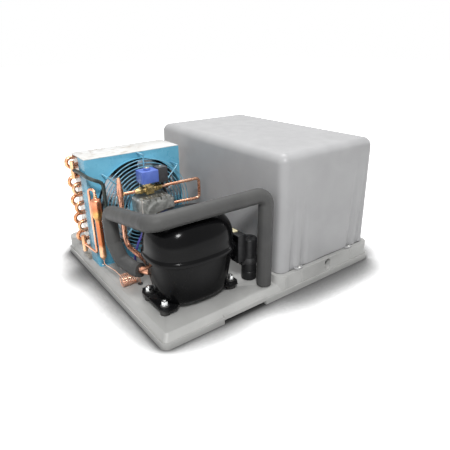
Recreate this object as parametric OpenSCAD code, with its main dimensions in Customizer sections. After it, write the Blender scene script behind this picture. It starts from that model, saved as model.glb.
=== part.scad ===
// Monoblock refrigeration unit: a moulded base tray carries the condensing side on the left
// and a covered, insulated evaporator chamber on the right.
// Places are measured from the front left corner of the base; the origin is under its middle.

/* [Base] */
// Height of the outer flange of the base tray
flange_h = 14; // [11:1:18]
// Height of the deck that carries the machinery
deck_h = 30; // [26:1:38]
// Height of the plinth under the cover
plinth_h = 51; // [46:1:62]
// Wall of the moulded base tray
tray_wall = 3.5; // [2.5:0.5:4.5]
// Corner radius of the base tray, seen from above
base_corner_r = 16; // [10:1:24]
// Width of the lifting notch in the front flange
notch_w = 118; // [90:1:140]
// Height of the lifting notch
notch_h = 10; // [8:1:11]
// Thickness of the bottom sheet that closes the base
pan_t = 1.5; // [1:0.25:2.5]

/* [Cover] */
// Width of the evaporator cover at its foot
cover_w = 316.5; // [300:0.5:380]
// Height of the cover above the plinth
cover_h = 280; // [250:1:330]
// Wall of the cover
cover_wall = 4; // [3:0.5:5]
// Radius of the cover's outer edges
cover_edge_r = 22; // [16:1:28]
// Draft of the cover, per side, from foot to top
cover_draft = 3; // [1:0.5:6]
// Thickness of the insulating liner under the cover
liner_t = 24; // [18:1:28]
// Thickness of the foam seal between cover and plinth
seal_t = 1.5; // [1:0.25:3]

/* [Condenser] */
// Width of the condenser and its fan shroud
cond_w = 253; // [245:1:290]
// Height of the condenser above the deck
cond_h = 272; // [265:1:310]
// Depth of the fan shroud in front of the fins
shroud_d = 43; // [38:1:55]
// Depth of the finned block
fin_d = 52; // [48:1:60]
// Outside diameter of the condenser tubes
cond_tube_d = 9.5; // [8:0.5:10]
// Distance from tube to tube
tube_pitch = 24.5; // [22:0.5:26]
// Thickness of the shroud's painted sheet
sheet_t = 1.5; // [1:0.25:2.5]

/* [Condenser fan] */
// Diameter of the condenser fan blades as a share of the shroud's height
fan_share = 0.8456; // [0.74:0.0001:0.85]
// Number of blades
blade_count = 5; // [4:1:7]
// Pitch angle of the blades
blade_pitch = 24; // [18:1:30]
// Width and height of the fan motor
motor_w = 84; // [70:1:88]
// Length of the fan motor
motor_l = 64; // [54:1:68]
// Diameter of the fan shaft
shaft_d = 8; // [6:0.5:10]
// Radial running clearance of shafts and plungers
running_gap = 0.05; // [0.03:0.01:0.1]

/* [Evaporator fan] */
// Diameter of the evaporator fan blades
evap_fan_d = 172; // [150:1:180]
// Width and height of the evaporator fan motor
evap_motor_w = 64; // [54:1:70]

/* [Compressor] */
// Length of the compressor shell at its seam
shell_l = 193; // [170:1:210]
// Depth of the compressor shell at its seam
shell_d = 154; // [135:1:165]
// Height of the lower shell above the foot plates
lower_shell_h = 104; // [90:1:120]
// Height of the dome above the seam
dome_h = 73; // [60:1:85]
// Wall of the compressor shell
shell_wall = 3.2; // [2.5:0.1:4]
// Bolt spacing of the feet along the shell
foot_l = 170; // [160:1:176]
// Bolt spacing of the feet across the shell
foot_w = 70; // [62:1:90]
// Diameter of the start capacitor
cap_d = 36; // [30:1:40]
// Height of the start capacitor
cap_h = 106; // [85:1:120]

/* [Pipework] */
// Outside diameter of the insulated suction line
hose_d = 34; // [28:1:38]
// Outside diameter of the copper suction tube
suction_d = 12.7; // [9.5:0.1:15]
// Outside diameter of the discharge riser
riser_d = 12.7; // [9.5:0.1:15]
// Outside diameter of the hot gas and discharge tubes
gas_tube_d = 8; // [6.35:0.05:10]
// Outside diameter of the liquid tube
liquid_tube_d = 6.35; // [5:0.05:8]
// Outside diameter of the capillary tube
capillary_d = 2.8; // [2:0.1:3.5]
// Number of turns of the capillary coil
coil_turns = 9; // [6:1:12]
// Outside diameter of the capillary coil
coil_d = 31; // [26:1:36]

/* [Solenoid valve] */
// Width of the solenoid coil
coil_w = 44; // [38:1:50]
// Depth of the solenoid coil
coil_depth = 34; // [30:1:38]
// Height of the solenoid coil
coil_h = 30; // [26:1:36]
// Travel of the valve plunger
plunger_travel = 2.5; // [1.5:0.5:3.5]

/* [Hidden] */
$fn = 48;
overrun = 2;
touch_gap = 0.1;

// Condenser and machine side, from left to right
cond_x0 = 15;
cond_x1 = cond_x0 + cond_w;
comp_side_gap = 34.5;
comp_x = comp_side_gap + shell_l / 2;
relay_gap = 2.7;
relay_t = 21;
relay_x0 = comp_x + shell_l / 2 + relay_gap;
relay_x1 = relay_x0 + relay_t;
cap_gap = 8.8;
cap_x = relay_x1 + cap_gap + cap_d / 2;
cond_cover_gap = 46;
cap_cover_gap = 18;
cover_x0 = max(cond_x1 + cond_cover_gap, cap_x + cap_d / 2 + cap_cover_gap);
cover_x1 = cover_x0 + cover_w;
cover_margin = 9.5;
base_w = cover_x1 + cover_margin;

// Machine side, from front to back
comp_front_gap = 30;
comp_y = comp_front_gap + shell_d / 2;
comp_back_y = comp_y + shell_d / 2;
service_gap = 178;
cond_y = comp_back_y + service_gap;
fin_y = cond_y + shroud_d;
fin_back_y = fin_y + fin_d;
rear_gap = 103;
base_d = fin_back_y + rear_gap;
cover_y0 = 13.5;
cover_y1 = base_d - cover_y0;

// Base tray
ledge = 4;
slope_run = 9;
flange_lip_w = 2.5;
flange_lip_h = 1.5;
plinth_lip = 8;
plinth_x0 = cover_x0 - plinth_lip;
plinth_side = 3.5;
plinth_x1 = base_w - plinth_side;
plinth_y0 = plinth_side;
plinth_y1 = base_d - plinth_side;
plinth_r = 20;
ridge_d = 44;
notch_x = 146;
notch_d = 20;
notch_raise = 6;
notch_raise_d = 12;
rib_w = 4;
rib_t = 1.4;
rib_x_shares = [0.058, 0.219, 0.771];
core_gap = 0.3;

// Air windows through the base under the cover
window_inset = 40;
window_d = 92;
window_mid_w = 44;
window_wall = 2.5;
window_x0 = cover_x0 + window_inset;
window_x1 = cover_x1 - window_inset;
window_xm = (window_x0 + window_x1) / 2;
window_y_front = cover_y0 + window_inset;
window_y_back = cover_y1 - window_inset - window_d;

// Drain at the front of the plinth
drain_bore_d = 12;
drain_wall = 2;
drain_x = window_xm;
drain_z = 33;
drain_slot_w = 20;
drain_slot_h = 30;
drain_slot_d = 26;
drain_reach = 12;
drain_r = drain_bore_d / 2 + drain_wall;
drain_mouth_step = 0.5;
drain_mouth_r = drain_bore_d / 2 + drain_mouth_step;
drain_mouth_l = 18;

// Cable gland in the plinth's left wall, behind the condenser
gland_d = 10;
gland_y = fin_back_y + 24;
gland_z = deck_h + 9.5;
gland_hex = 15;
gland_hex_t = 5;
gland_dome_l = 10;
gland_bore_r = 3;

// Cover
cover_z0 = plinth_h + seal_t;
cover_z1 = plinth_h + cover_h;
flute_depth = 2.4;
flute_r = 46;
flute_x_shares = [0.14, 0.25, 0.80, 0.91];
panel_x_share = 0.53;
panel_r = 620;
tab_w = 24;
tab_t = 3;
tab_reach = 9;
tab_root = 3.4;
tab_x_shares = [0.19, 0.77];
screw_r = 2;
screw_head_r = 4;
screw_head_h = 2.6;
screw_l = 9;

// Chamber inside the liner
chamber_x0 = cover_x0 + cover_wall + cover_draft + liner_t;
chamber_x1 = cover_x1 - cover_wall - cover_draft - liner_t;
chamber_y0 = cover_y0 + cover_wall + cover_draft + liner_t;
chamber_y1 = cover_y1 - cover_wall - cover_draft - liner_t;
chamber_z1 = cover_z1 - cover_wall - liner_t;
chamber_gap = 1.5;

// Evaporator coil
evap_tube_d = 9.5;
evap_d = 60;
evap_y = chamber_y0 + window_d + window_inset + chamber_gap;
evap_plate_t = 2;
evap_side = 40;
evap_x0 = chamber_x0 + evap_side;
evap_x1 = chamber_x1 - evap_side;
evap_z0 = plinth_h + 16;
evap_rows = floor((chamber_z1 - evap_z0 - chamber_gap) / tube_pitch / 2) * 2;
evap_h = evap_rows * tube_pitch;
evap_fan_x = (chamber_x0 + chamber_x1) / 2;
evap_fan_z = (plinth_h + chamber_z1) / 2;
evap_fan_y = evap_y + evap_d + 46;
evap_motor_l = 50;
tray_t = 1.2;
tray_lip = 9;
drip_z = plinth_h + 1;
drip_over = 8;
bend_r = tube_pitch / 2;
drain_y = evap_y + evap_d / 2;
evap_in_x = chamber_x0 + 13;
suction_in_y = evap_y - 20;
gas_in_y = evap_y + evap_d + 22;

// Condenser
cond_rows = floor((cond_h - 15) / tube_pitch / 2) * 2;
row_ys = [fin_y + fin_d / 4, fin_y + fin_d * 3 / 4];
row_shift_share = 0.5;
end_plate_t = 1.5;
end_plate_in = 4;
tube_stub = 1.5;
cond_stub = 8;
plate_gap = 0.3;
fin_x0 = cond_x0 + end_plate_in + end_plate_t;
fin_x1 = cond_x1 - end_plate_in - end_plate_t;
top_plate_t = 1.5;
plate_foot = 11;
coil_top_gap = 2.5;
cond_tube_z = deck_h + cond_h - cond_tube_d / 2 - coil_top_gap - tube_pitch * (cond_rows - 0.5);

// Condenser fan
fan_x = cond_x0 + cond_w / 2 + 6.5;
fan_z = deck_h + cond_h / 2 + 2;
shroud_ratio = 1.0752;
fan_d = min(cond_h, cond_w * shroud_ratio) * fan_share;
fan_tip_gap = 4;
opening_r = fan_d / 2 + fan_tip_gap;
collar_t = 1.5;
collar_h = 8;
guard_r = opening_r + 2.5;
guard_rings = 9;
guard_pitch = guard_r * 0.0724;
guard_wire_r = 1.1;
guard_arm_r = 1.8;
guard_arm_in = 44;
guard_arm_reach = guard_r * 1.0988;
guard_arm_angles = [45, 90, 135, 225, 270, 315];
guard_boss_r = 50;
guard_boss_t = 2;
motor_corner_r = 12;
motor_fin_count = 6;
motor_fin_w = 4;
motor_fin_depth = 7;
motor_fin_l = 26;
hub_r = 24;
hub_l = 24;
blade_t = 1.2;
blade_count_evap = 5;

// Compressor
foot_z = deck_h + 16;
foot_t = 3;
shell_z0 = foot_z + foot_t;
seam_z = shell_z0 + lower_shell_h;
shell_power = 2.6;
seam_rim = 2.4;
seam_rim_h = 5;
foot_plate_w = 50;
foot_plate_over = 22;
foot_hole_r = 3.3;
grommet_r = 11;
grommet_neck_r = 5.5;
grommet_head_r = 9.6;
grommet_head_h = 3;
stud_r = 3;
stud_h = 37.5;
nut_af = 12;
nut_h = 8;
washer_r = 7.8;
washer_t = 1.4;
stub_l = 22;
relay_y0 = comp_y - 47;
relay_w = 65;
relay_z0 = seam_z - 62;
relay_h = 67;
relay_fence = 9;
cap_y = comp_y - 27;

// Valve row in front of the condenser
valve_y = cond_y - 62;
valve_x = fan_x - 6;
valve_z = fan_z + motor_w / 2 + 14;
body_r = 10;
body_l = 66;
flare_r = 6.6;
flare_l = 13;
stem_r = 6.4;
plunger_r = 4.6;
plunger_l = 24;
coil_z0 = valve_z + body_r + 8;
connector_w = 26;
connector_h = 37;
connector_gap = 0.5;
stem_top = 6;
coil_nut_h = 5;

// Pipe corners
riser_x = cond_x0 + 54;
riser_top_z = valve_z + 42;
riser_low_z = deck_h + 66;
sleeve_x = cond_x0 + 23;
sleeve_y = cond_y - 44;
sleeve_top_z = deck_h + cond_h - 47;
drier_x = 17;
drier_y = cond_y - 40;
drier_z0 = deck_h + cond_h * 0.1176;
drier_h = cond_h * 0.588;
drier_r = 12;
drier_neck_r = 7.8;
coil_x0 = 18;
coil_l = 40;
coil_y = comp_back_y + 42;
coil_loop_r = coil_d / 2 - capillary_d / 2;
coil_z = deck_h + coil_d / 2 + 0.3;
cap_drop_x = coil_x0 + coil_l;
cap_drop_y = coil_y - coil_loop_r;
gas_drop_x = cover_x0 - 26;
gas_back_x = fan_x + motor_w / 2 + 15;
gas_back_z = fan_z + 2;
gas_drop_y = valve_y + 8;
channel_room = 4;
grommet_wall = 2.5;
grommet_lip = 2;
hose_r = hose_d / 2;
hose_bore_gap = 0.3;
hose_bore_r = suction_d / 2 + hose_bore_gap;
hose_x = cover_x0 - hose_r - 12;
hose_y = hose_r + 17;
hose_top_z = seam_z + dome_h + 26;
hose_left_x = hose_r + 4;
hose_back_run = 74;
hose_corner_y = comp_back_y + hose_back_run;
hose_corner_z = hose_top_z - 46;
stub_x = comp_x - shell_l * 0.36;
stub_y = comp_y + shell_d * 0.36;
stub_z = seam_z - 70;
under_z = 14;

// Rounded route of a pipe: straight runs joined by arcs in steps of at most turn_step degrees
turn_step = 15;
function unit(v) = v / norm(v);
function corner_arc(a, p, b, r, step) =
  let (
    u = unit(p - a),
    v = unit(b - p),
    turn = acos(max(-1, min(1, u * v))),
    t = r * tan(turn / 2),
    n = (v - u * cos(turn)) / sin(turn),
    centre = p - u * t + n * r,
    steps = max(2, ceil(turn / step))
  )
  [for (i = [0:steps]) centre + r * (u * sin(i * turn / steps) - n * cos(i * turn / steps))];
function route(pts, r, step = turn_step) =
  let (last = len(pts) - 1)
  [
    for (i = [0:last])
      each (i == 0 || i == last ? [pts[i]]
        : corner_arc(pts[i - 1], pts[i], pts[i + 1], r, step))
  ];

// Rings of a tube: each ring is slid along its run onto the mitre plane of the next corner
function ring_start(path, r, sides) =
  let (
    d = unit(path[1] - path[0]),
    side = unit(cross(d, abs(d.z) > 0.9 ? [1, 0, 0] : [0, 0, 1])),
    up = cross(side, d)
  )
  [for (j = [0:sides - 1]) path[0] + r * (side * cos(360 * j / sides) + up * sin(360 * j / sides))];
function mitre(path, i) =
  i >= len(path) - 1
    ? unit(path[i] - path[i - 1])
    : unit(unit(path[i] - path[i - 1]) + unit(path[i + 1] - path[i]));
function slide_ring(ring, path, i) =
  let (d = unit(path[i] - path[i - 1]), m = mitre(path, i))
  [for (q = ring) q + d * (((path[i] - q) * m) / (d * m))];
function tube_rings(path, r, sides) =
  [
    for (i = 0, ring = ring_start(path, r, sides);
      i < len(path);
      i = i + 1, ring = i < len(path) ? slide_ring(ring, path, i) : ring)
      ring
  ];

module tube(path, r, sides = 12) {
  rings = tube_rings(path, r, sides);
  last = len(path) - 1;
  points = [for (ring = rings) each ring];
  walls = [
    for (i = [0:last - 1], j = [0:sides - 1])
      let (k = (j + 1) % sides, a = i * sides, b = a + sides)
      each [[a + j, a + k, b + k], [a + j, b + k, b + j]]
  ];
  start_cap = [for (j = [1:sides - 2]) [0, j + 1, j]];
  end_cap = [for (j = [1:sides - 2]) [last * sides, last * sides + j, last * sides + j + 1]];
  polyhedron(points = points, faces = concat(walls, start_cap, end_cap));
}

// The origin is under the middle of the whole part, whose left end is the condenser's bends
bend_left_x = fin_x0 - end_plate_t - cond_stub - bend_r - cond_tube_d / 2;
module from_corner() {
  translate([-(base_w + min(bend_left_x, 0)) / 2, -base_d / 2, 0]) children();
}

module along_x(r, l) {
  rotate([0, 90, 0]) cylinder(r = r, h = l);
}

module along_y(r, l) {
  rotate([-90, 0, 0]) cylinder(r = r, h = l);
}

module round_rect(w, d, r) {
  translate([r, 0]) square([w - 2 * r, d]);
  translate([0, r]) square([w, d - 2 * r]);
  for (x = [r, w - r], y = [r, d - r]) translate([x, y]) circle(r = r);
}

module round_slab(x0, y0, x1, y1, z0, z1, r) {
  translate([x0, y0, z0]) linear_extrude(z1 - z0) round_rect(x1 - x0, y1 - y0, r);
}

module box(x0, y0, z0, x1, y1, z1) {
  translate([x0, y0, z0]) cube([x1 - x0, y1 - y0, z1 - z0]);
}

// Base tray: one solid outline, drawn smaller for its hollow and for the foam inside
module tray_body(inset, z0, top_cut) {
  round_slab(inset, inset, base_w - inset, base_d - inset, z0, flange_h - top_cut,
    base_corner_r - min(inset, base_corner_r / 2));
  deck_foot = ledge + inset;
  deck_top = ledge + slope_run + inset;
  hull() {
    round_slab(deck_foot, deck_foot, base_w - deck_foot, base_d - deck_foot,
      z0, flange_h - top_cut, base_corner_r / 2, $fn = 32);
    round_slab(deck_top, deck_top, base_w - deck_top, base_d - deck_top,
      z0, deck_h - top_cut, base_corner_r / 2, $fn = 32);
  }
  round_slab(plinth_x0 + inset, plinth_y0 + inset, plinth_x1 - inset, plinth_y1 - inset,
    z0, plinth_h - top_cut, plinth_r - inset);
  round_slab(ledge + inset, plinth_y1 - ridge_d + inset, plinth_x0 + 2 * plinth_r, plinth_y1 - inset,
    z0, plinth_h - top_cut, plinth_r - inset);
}

module window_blocks(grow, z0, z1) {
  mid = window_mid_w / 2;
  for (y = [window_y_front, window_y_back]) {
    box(window_x0 - grow, y - grow, z0, window_xm - mid + grow, y + window_d + grow, z1);
    box(window_xm + mid - grow, y - grow, z0, window_x1 + grow, y + window_d + grow, z1);
  }
}

module notch_block(grow, z1) {
  box(notch_x - grow, -overrun, -overrun, notch_x + notch_w + grow, notch_d + grow, z1);
}

module drain_slot(grow, y1) {
  half = (drain_slot_h - drain_slot_w) / 2;
  for (s = [-1, 1])
    translate([drain_x, -overrun, drain_z + s * half])
      along_y(drain_slot_w / 2 + grow, y1 + overrun + grow);
  box(drain_x - drain_slot_w / 2 - grow, -overrun, drain_z - half,
    drain_x + drain_slot_w / 2 + grow, y1 + grow, drain_z + half);
}

// Channels in the foam for the drain and for the lines that pass under the deck
module channel(x0, y0, x1, y1, w, top) {
  box(min(x0, x1) - w / 2, min(y0, y1) - w / 2, 0, max(x0, x1) + w / 2, max(y0, y1) + w / 2, top);
}

module foam_channels() {
  suction_cut = suction_d + channel_room;
  gas_cut = gas_tube_d + channel_room;
  cap_cut = capillary_d + channel_room;
  top = plinth_h + overrun;
  channel(hose_x, hose_y, hose_x, suction_in_y, suction_cut, under_z + suction_cut / 2);
  channel(hose_x, suction_in_y, evap_in_x, suction_in_y, suction_cut, under_z + suction_cut / 2);
  channel(gas_back_x, gas_drop_y, gas_back_x, gas_in_y, gas_cut, under_z + gas_cut / 2);
  channel(gas_back_x, gas_in_y, evap_in_x, gas_in_y, gas_cut, under_z + gas_cut / 2);
  channel(cap_drop_x, cap_drop_y, evap_in_x, cap_drop_y, cap_cut, under_z + cap_cut / 2);
  tube_places() channel(0, 0, 0, 0, $tube_d + channel_room, top);
  box(drain_x - drain_bore_d, 0, drain_z - drain_bore_d,
    drain_x + drain_bore_d, drain_y + drain_bore_d, top);
}

// The six places where a tube passes through the tray, with the tube's size and the wall's top
module tube_places() {
  table = [
    [hose_x, hose_y, suction_d, deck_h], [evap_in_x, suction_in_y, suction_d, plinth_h],
    [gas_back_x, gas_drop_y, gas_tube_d, deck_h], [evap_in_x, gas_in_y, gas_tube_d, plinth_h],
    [cap_drop_x, cap_drop_y, capillary_d, deck_h], [evap_in_x, cap_drop_y, capillary_d, plinth_h]
  ];
  for (t = table) translate([t[0], t[1], 0]) {
    $tube_d = t[2];
    $wall_top = t[3];
    children();
  }
}

module stud_places() {
  for (x = [-1, 1], y = [-1, 1])
    translate([comp_x + x * foot_l / 2, comp_y + y * foot_w / 2, 0]) children();
}

module tab_places() {
  for (s = tab_x_shares, $inward = [1, -1])
    translate([
      cover_x0 + s * cover_w,
      $inward > 0 ? cover_y0 - tab_reach / 2 : cover_y1 + tab_reach / 2,
      0
    ]) children();
}

module base_tray() {
  color([0.62, 0.62, 0.62]) from_corner() {
    difference() {
      union() {
        tray_body(0, 0, 0);
        box(notch_x, 0, 0, notch_x + notch_w, notch_raise_d, flange_h + notch_raise);
        for (s = rib_x_shares)
          translate([plinth_x0 + s * (plinth_x1 - plinth_x0), plinth_y0 - rib_t, 0])
            cube([rib_w, rib_t + overrun, plinth_h - ledge]);
        difference() {
          round_slab(0, 0, base_w, base_d, 0, flange_h + flange_lip_h, base_corner_r);
          round_slab(flange_lip_w, flange_lip_w, base_w - flange_lip_w, base_d - flange_lip_w,
            -overrun, flange_h + flange_lip_h + overrun, base_corner_r - flange_lip_w);
        }
      }
      difference() {
        tray_body(tray_wall, -overrun, tray_wall);
        window_blocks(window_wall, -2 * overrun, plinth_h + overrun);
        notch_block(tray_wall, notch_h + tray_wall);
        drain_slot(tray_wall, drain_slot_d);
      }
      window_blocks(0, -2 * overrun, plinth_h + overrun);
      notch_block(0, notch_h);
      drain_slot(0, drain_slot_d);
      tube_places() translate([0, 0, $wall_top - tray_wall - overrun])
        cylinder(r = $tube_d / 2 + grommet_wall, h = tray_wall + 2 * overrun);
      stud_places() translate([0, 0, deck_h - tray_wall - overrun])
        cylinder(r = stud_r + touch_gap, h = tray_wall + 2 * overrun);
      translate([drain_x, 0, drain_z]) along_y(drain_r + touch_gap, drain_slot_d + tray_wall + overrun);
      translate([drain_x, drain_y, drain_z]) cylinder(r = drain_r + touch_gap, h = plinth_h);
      translate([plinth_x0 - overrun, gland_y, gland_z])
        along_x(gland_d / 2 + touch_gap, tray_wall + 2 * overrun);
      tab_places() translate([0, 0, plinth_h - screw_l])
        cylinder(r = screw_r + touch_gap, h = screw_l + overrun);
    }
  }
}

module base_foam() {
  color([0.93, 0.91, 0.82]) from_corner() {
    difference() {
      tray_body(tray_wall + core_gap, pan_t + core_gap, tray_wall + core_gap);
      window_blocks(window_wall + core_gap, -overrun, plinth_h + overrun);
      notch_block(tray_wall + core_gap, notch_h + tray_wall + core_gap);
      drain_slot(tray_wall + core_gap, drain_slot_d);
      foam_channels();
      stud_places() cylinder(r = washer_r, h = deck_h);
      box(plinth_x0, gland_y - gland_hex, 0, plinth_x0 + 2 * gland_hex, gland_y + gland_hex, plinth_h);
      tab_places() cylinder(r = screw_head_r, h = plinth_h);
    }
  }
}

module bottom_pan() {
  color([0.72, 0.73, 0.74]) from_corner() {
    edge = tray_wall + core_gap;
    difference() {
      round_slab(edge, edge, base_w - edge, base_d - edge, 0, pan_t, base_corner_r - edge);
      window_blocks(window_wall + core_gap, -overrun, pan_t + overrun);
      notch_block(tray_wall + core_gap, notch_h);
    }
  }
}

module plinth_seal() {
  color([0.2, 0.2, 0.2]) from_corner() {
    edge = cover_wall - touch_gap;
    difference() {
      round_slab(cover_x0, cover_y0, cover_x1, cover_y1, plinth_h, cover_z0, cover_edge_r);
      round_slab(cover_x0 + edge, cover_y0 + edge, cover_x1 - edge, cover_y1 - edge,
        plinth_h - overrun, cover_z0 + overrun, cover_edge_r - edge);
    }
  }
}

// Rounded, slightly drafted outline of the cover, drawn smaller for its hollow and its liner
module cover_form(inset, z0) {
  r = cover_edge_r - inset;
  top = cover_edge_r + cover_draft;
  hull() {
    round_slab(cover_x0 + inset, cover_y0 + inset, cover_x1 - inset, cover_y1 - inset,
      z0, z0 + 1, r, $fn = 40);
    for (x = [cover_x0 + top, cover_x1 - top], y = [cover_y0 + top, cover_y1 - top])
      translate([x, y, cover_z1 - cover_edge_r]) sphere(r = r, $fn = 40);
  }
}

module evaporator_cover() {
  color([0.66, 0.66, 0.67]) from_corner() {
    difference() {
      cover_form(0, cover_z0);
      cover_form(cover_wall, cover_z0 - overrun);
      for (s = flute_x_shares)
        translate([cover_x0 + s * cover_w, cover_y0 - flute_r + flute_depth, cover_z0 - overrun])
          cylinder(r = flute_r, h = cover_h + 2 * overrun, $fn = 96);
      translate([cover_x0 + panel_x_share * cover_w, cover_y0 - panel_r + flute_depth,
        cover_z0 - overrun])
        cylinder(r = panel_r, h = cover_h + 2 * overrun, $fn = 96);
    }
    tab_places() difference() {
      translate([-tab_w / 2, -tab_reach / 2 - ($inward > 0 ? 0 : tab_root), cover_z0])
        cube([tab_w, tab_reach + tab_root, tab_t]);
      translate([0, 0, cover_z0 - overrun])
        cylinder(r = screw_r + touch_gap, h = tab_t + 2 * overrun);
    }
  }
}

module cover_screws() {
  color([0.8, 0.8, 0.82]) from_corner() {
    tab_places() translate([0, 0, cover_z0 + tab_t]) {
      translate([0, 0, touch_gap]) cylinder(r1 = screw_head_r, r2 = screw_head_r * 0.7, h = screw_head_h);
      translate([0, 0, -screw_l]) cylinder(r = screw_r, h = screw_l + 2 * touch_gap);
    }
  }
}

module chamber_liner() {
  color([0.92, 0.93, 0.94]) from_corner() {
    difference() {
      cover_form(cover_wall + core_gap, plinth_h);
      box(chamber_x0, chamber_y0, plinth_h - overrun, chamber_x1, chamber_y1, chamber_z1);
    }
  }
}

module drip_tray() {
  color([0.75, 0.76, 0.77]) from_corner() {
    x0 = evap_header_x - header_r;
    x1 = evap_x1 + bend_r + evap_tube_d;
    y0 = evap_y - drip_over;
    y1 = evap_y + evap_d + drip_over;
    difference() {
      box(x0, y0, drip_z, x1, y1, drip_z + tray_lip);
      box(x0 + tray_t, y0 + tray_t, drip_z + tray_t, x1 - tray_t, y1 - tray_t,
        drip_z + tray_lip + overrun);
      translate([drain_x, drain_y, drip_z - overrun])
        cylinder(r = drain_bore_d / 2, h = 2 * overrun + tray_t);
    }
  }
}

module drain_spout() {
  color([0.85, 0.85, 0.83]) from_corner() {
    y0 = drain_slot_d - drain_reach;
    difference() {
      union() {
        translate([drain_x, y0, drain_z]) along_y(drain_r, drain_y - y0);
        translate([drain_x - drain_r, drain_y - drain_r, drain_z - drain_r])
          cube([2 * drain_r, 2 * drain_r, 2 * drain_r]);
        translate([drain_x, drain_y, drain_z]) cylinder(r = drain_r - touch_gap, h = drip_z - drain_z);
      }
      translate([drain_x, y0 - overrun, drain_z]) along_y(drain_bore_d / 2, drain_y - y0 + overrun);
      translate([drain_x, y0 - overrun, drain_z]) along_y(drain_mouth_r, drain_mouth_l + overrun);
      translate([drain_x, drain_y, drain_z])
        cylinder(r = drain_bore_d / 2 - touch_gap, h = drip_z);
    }
  }
}

module tube_grommets() {
  color([0.12, 0.12, 0.12]) from_corner() {
    tube_places() {
      r = $tube_d / 2 + touch_gap;
      translate([0, 0, $wall_top - tray_wall]) difference() {
        union() {
          cylinder(r = r + grommet_wall - 2 * touch_gap, h = tray_wall + grommet_lip / 2);
          translate([0, 0, tray_wall + touch_gap])
            cylinder(r = r + grommet_wall + grommet_lip, h = grommet_lip);
        }
        translate([0, 0, -overrun]) cylinder(r = r, h = tray_wall + grommet_lip + 2 * overrun);
      }
    }
  }
}

module cable_gland() {
  color([0.15, 0.15, 0.16]) from_corner() {
    translate([plinth_x0, gland_y, gland_z]) difference() {
      union() {
        translate([-gland_hex_t, 0, 0]) rotate([0, 90, 0])
          cylinder(r = gland_hex / 2, h = gland_hex_t - touch_gap, $fn = 6);
        translate([-gland_hex_t - gland_dome_l, 0, 0]) rotate([0, 90, 0])
          cylinder(r1 = gland_hex * 0.32, r2 = gland_hex * 0.42, h = gland_dome_l);
        translate([-touch_gap, 0, 0]) along_x(gland_d / 2, tray_wall + 2 * gland_hex_t);
      }
      translate([-gland_hex_t - gland_dome_l - overrun, 0, 0])
        along_x(gland_bore_r, gland_dome_l + 4 * gland_hex_t);
    }
    translate([plinth_x0 + tray_wall + touch_gap, gland_y, gland_z]) difference() {
      rotate([0, 90, 0]) cylinder(r = gland_hex / 2, h = gland_hex_t, $fn = 6);
      translate([-overrun, 0, 0]) along_x(gland_d / 2 + touch_gap, gland_hex_t + 2 * overrun);
    }
  }
}

// Finned coil: rows of straight tubes along X through a fin block and two end plates.
// The near row's first and last pairs end in headers on the left; the rest are return bends.
function row_z(z0, row, i) = z0 + tube_pitch * (i + 0.5) - (row == 0 ? tube_pitch * row_shift_share : 0);

module coil_tube_places(ys, z0, count) {
  for (row = [0, 1], i = [0:count - 1]) translate([0, ys[row], row_z(z0, row, i)]) children();
}

module coil_fins(x0, x1, y0, y1, z_low, z_high, ys, z0, count, tube_d) {
  difference() {
    box(x0, y0, z_low, x1, y1, z_high);
    coil_tube_places(ys, z0, count)
      translate([x0 - overrun, 0, 0]) along_x(tube_d / 2 + touch_gap, x1 - x0 + 2 * overrun);
  }
}

module end_plate(x, t, y0, y1, z_low, z_high, foot, ys, z0, count, tube_d) {
  difference() {
    union() {
      box(x, y0, z_low, x + t, y1, z_high);
      box(min(x, x + foot), y0, z_low, max(x + t, x + foot), y1, z_low + t);
    }
    coil_tube_places(ys, z0, count)
      translate([x - overrun, 0, 0]) along_x(tube_d / 2 + touch_gap, t + 2 * overrun);
  }
}

module coil_straights(x0, x1, ys, z0, count, tube_d) {
  coil_tube_places(ys, z0, count) translate([x0, 0, 0]) along_x(tube_d / 2, x1 - x0);
}

module u_bend(r, turn_to) {
  rotate([90, 0, 0]) rotate([0, 0, turn_to])
    rotate_extrude(angle = 180) translate([bend_r, 0]) circle(r = r);
}

module coil_bends(x0, x1, ys, z0, count, tube_d) {
  r = tube_d / 2;
  for (row = [0, 1], i = [0:2:count - 2])
    if (row == 1 || (i > 0 && i < count - 2))
      translate([x0, ys[row], row_z(z0, row, i) + bend_r]) u_bend(r, 90);
  for (row = [0, 1], i = [1:2:count - 3])
    translate([x1, ys[row], row_z(z0, row, i) + bend_r]) u_bend(r, -90);
  for (i = [0, count - 2])
    translate([x0 - header_r - touch_gap, ys[0], row_z(z0, 0, i) - header_over])
      cylinder(r = header_r, h = tube_pitch + 2 * header_over);
}
header_r = 6;
header_over = 9;

module condenser_fins() {
  color([0.8, 0.81, 0.82]) from_corner()
    coil_fins(fin_x0, fin_x1, fin_y, fin_back_y, deck_h + end_plate_in, deck_h + cond_h - end_plate_in,
      row_ys, cond_tube_z, cond_rows, cond_tube_d);
}

module condenser_end_plates() {
  color([0.74, 0.75, 0.76]) from_corner()
    for (side = [0, 1])
      end_plate(side == 0 ? fin_x0 - end_plate_t : fin_x1, end_plate_t, fin_y, fin_back_y,
        deck_h, deck_h + cond_h - end_plate_in, side == 0 ? -plate_foot : plate_foot,
        row_ys, cond_tube_z, cond_rows, cond_tube_d);
}

module condenser_tubes() {
  color([0.77, 0.42, 0.26]) from_corner()
    coil_straights(fin_x0 - end_plate_t - cond_stub, fin_x1 + end_plate_t + cond_stub,
      row_ys, cond_tube_z, cond_rows, cond_tube_d);
}

module condenser_bends() {
  color([0.78, 0.44, 0.28]) from_corner()
    coil_bends(fin_x0 - end_plate_t - cond_stub, fin_x1 + end_plate_t + cond_stub,
      row_ys, cond_tube_z, cond_rows, cond_tube_d);
}

module condenser_top_plate() {
  color([0.9, 0.91, 0.92]) from_corner()
    box(cond_x0, cond_y, deck_h + cond_h, cond_x1, fin_back_y, deck_h + cond_h + top_plate_t);
}

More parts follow.
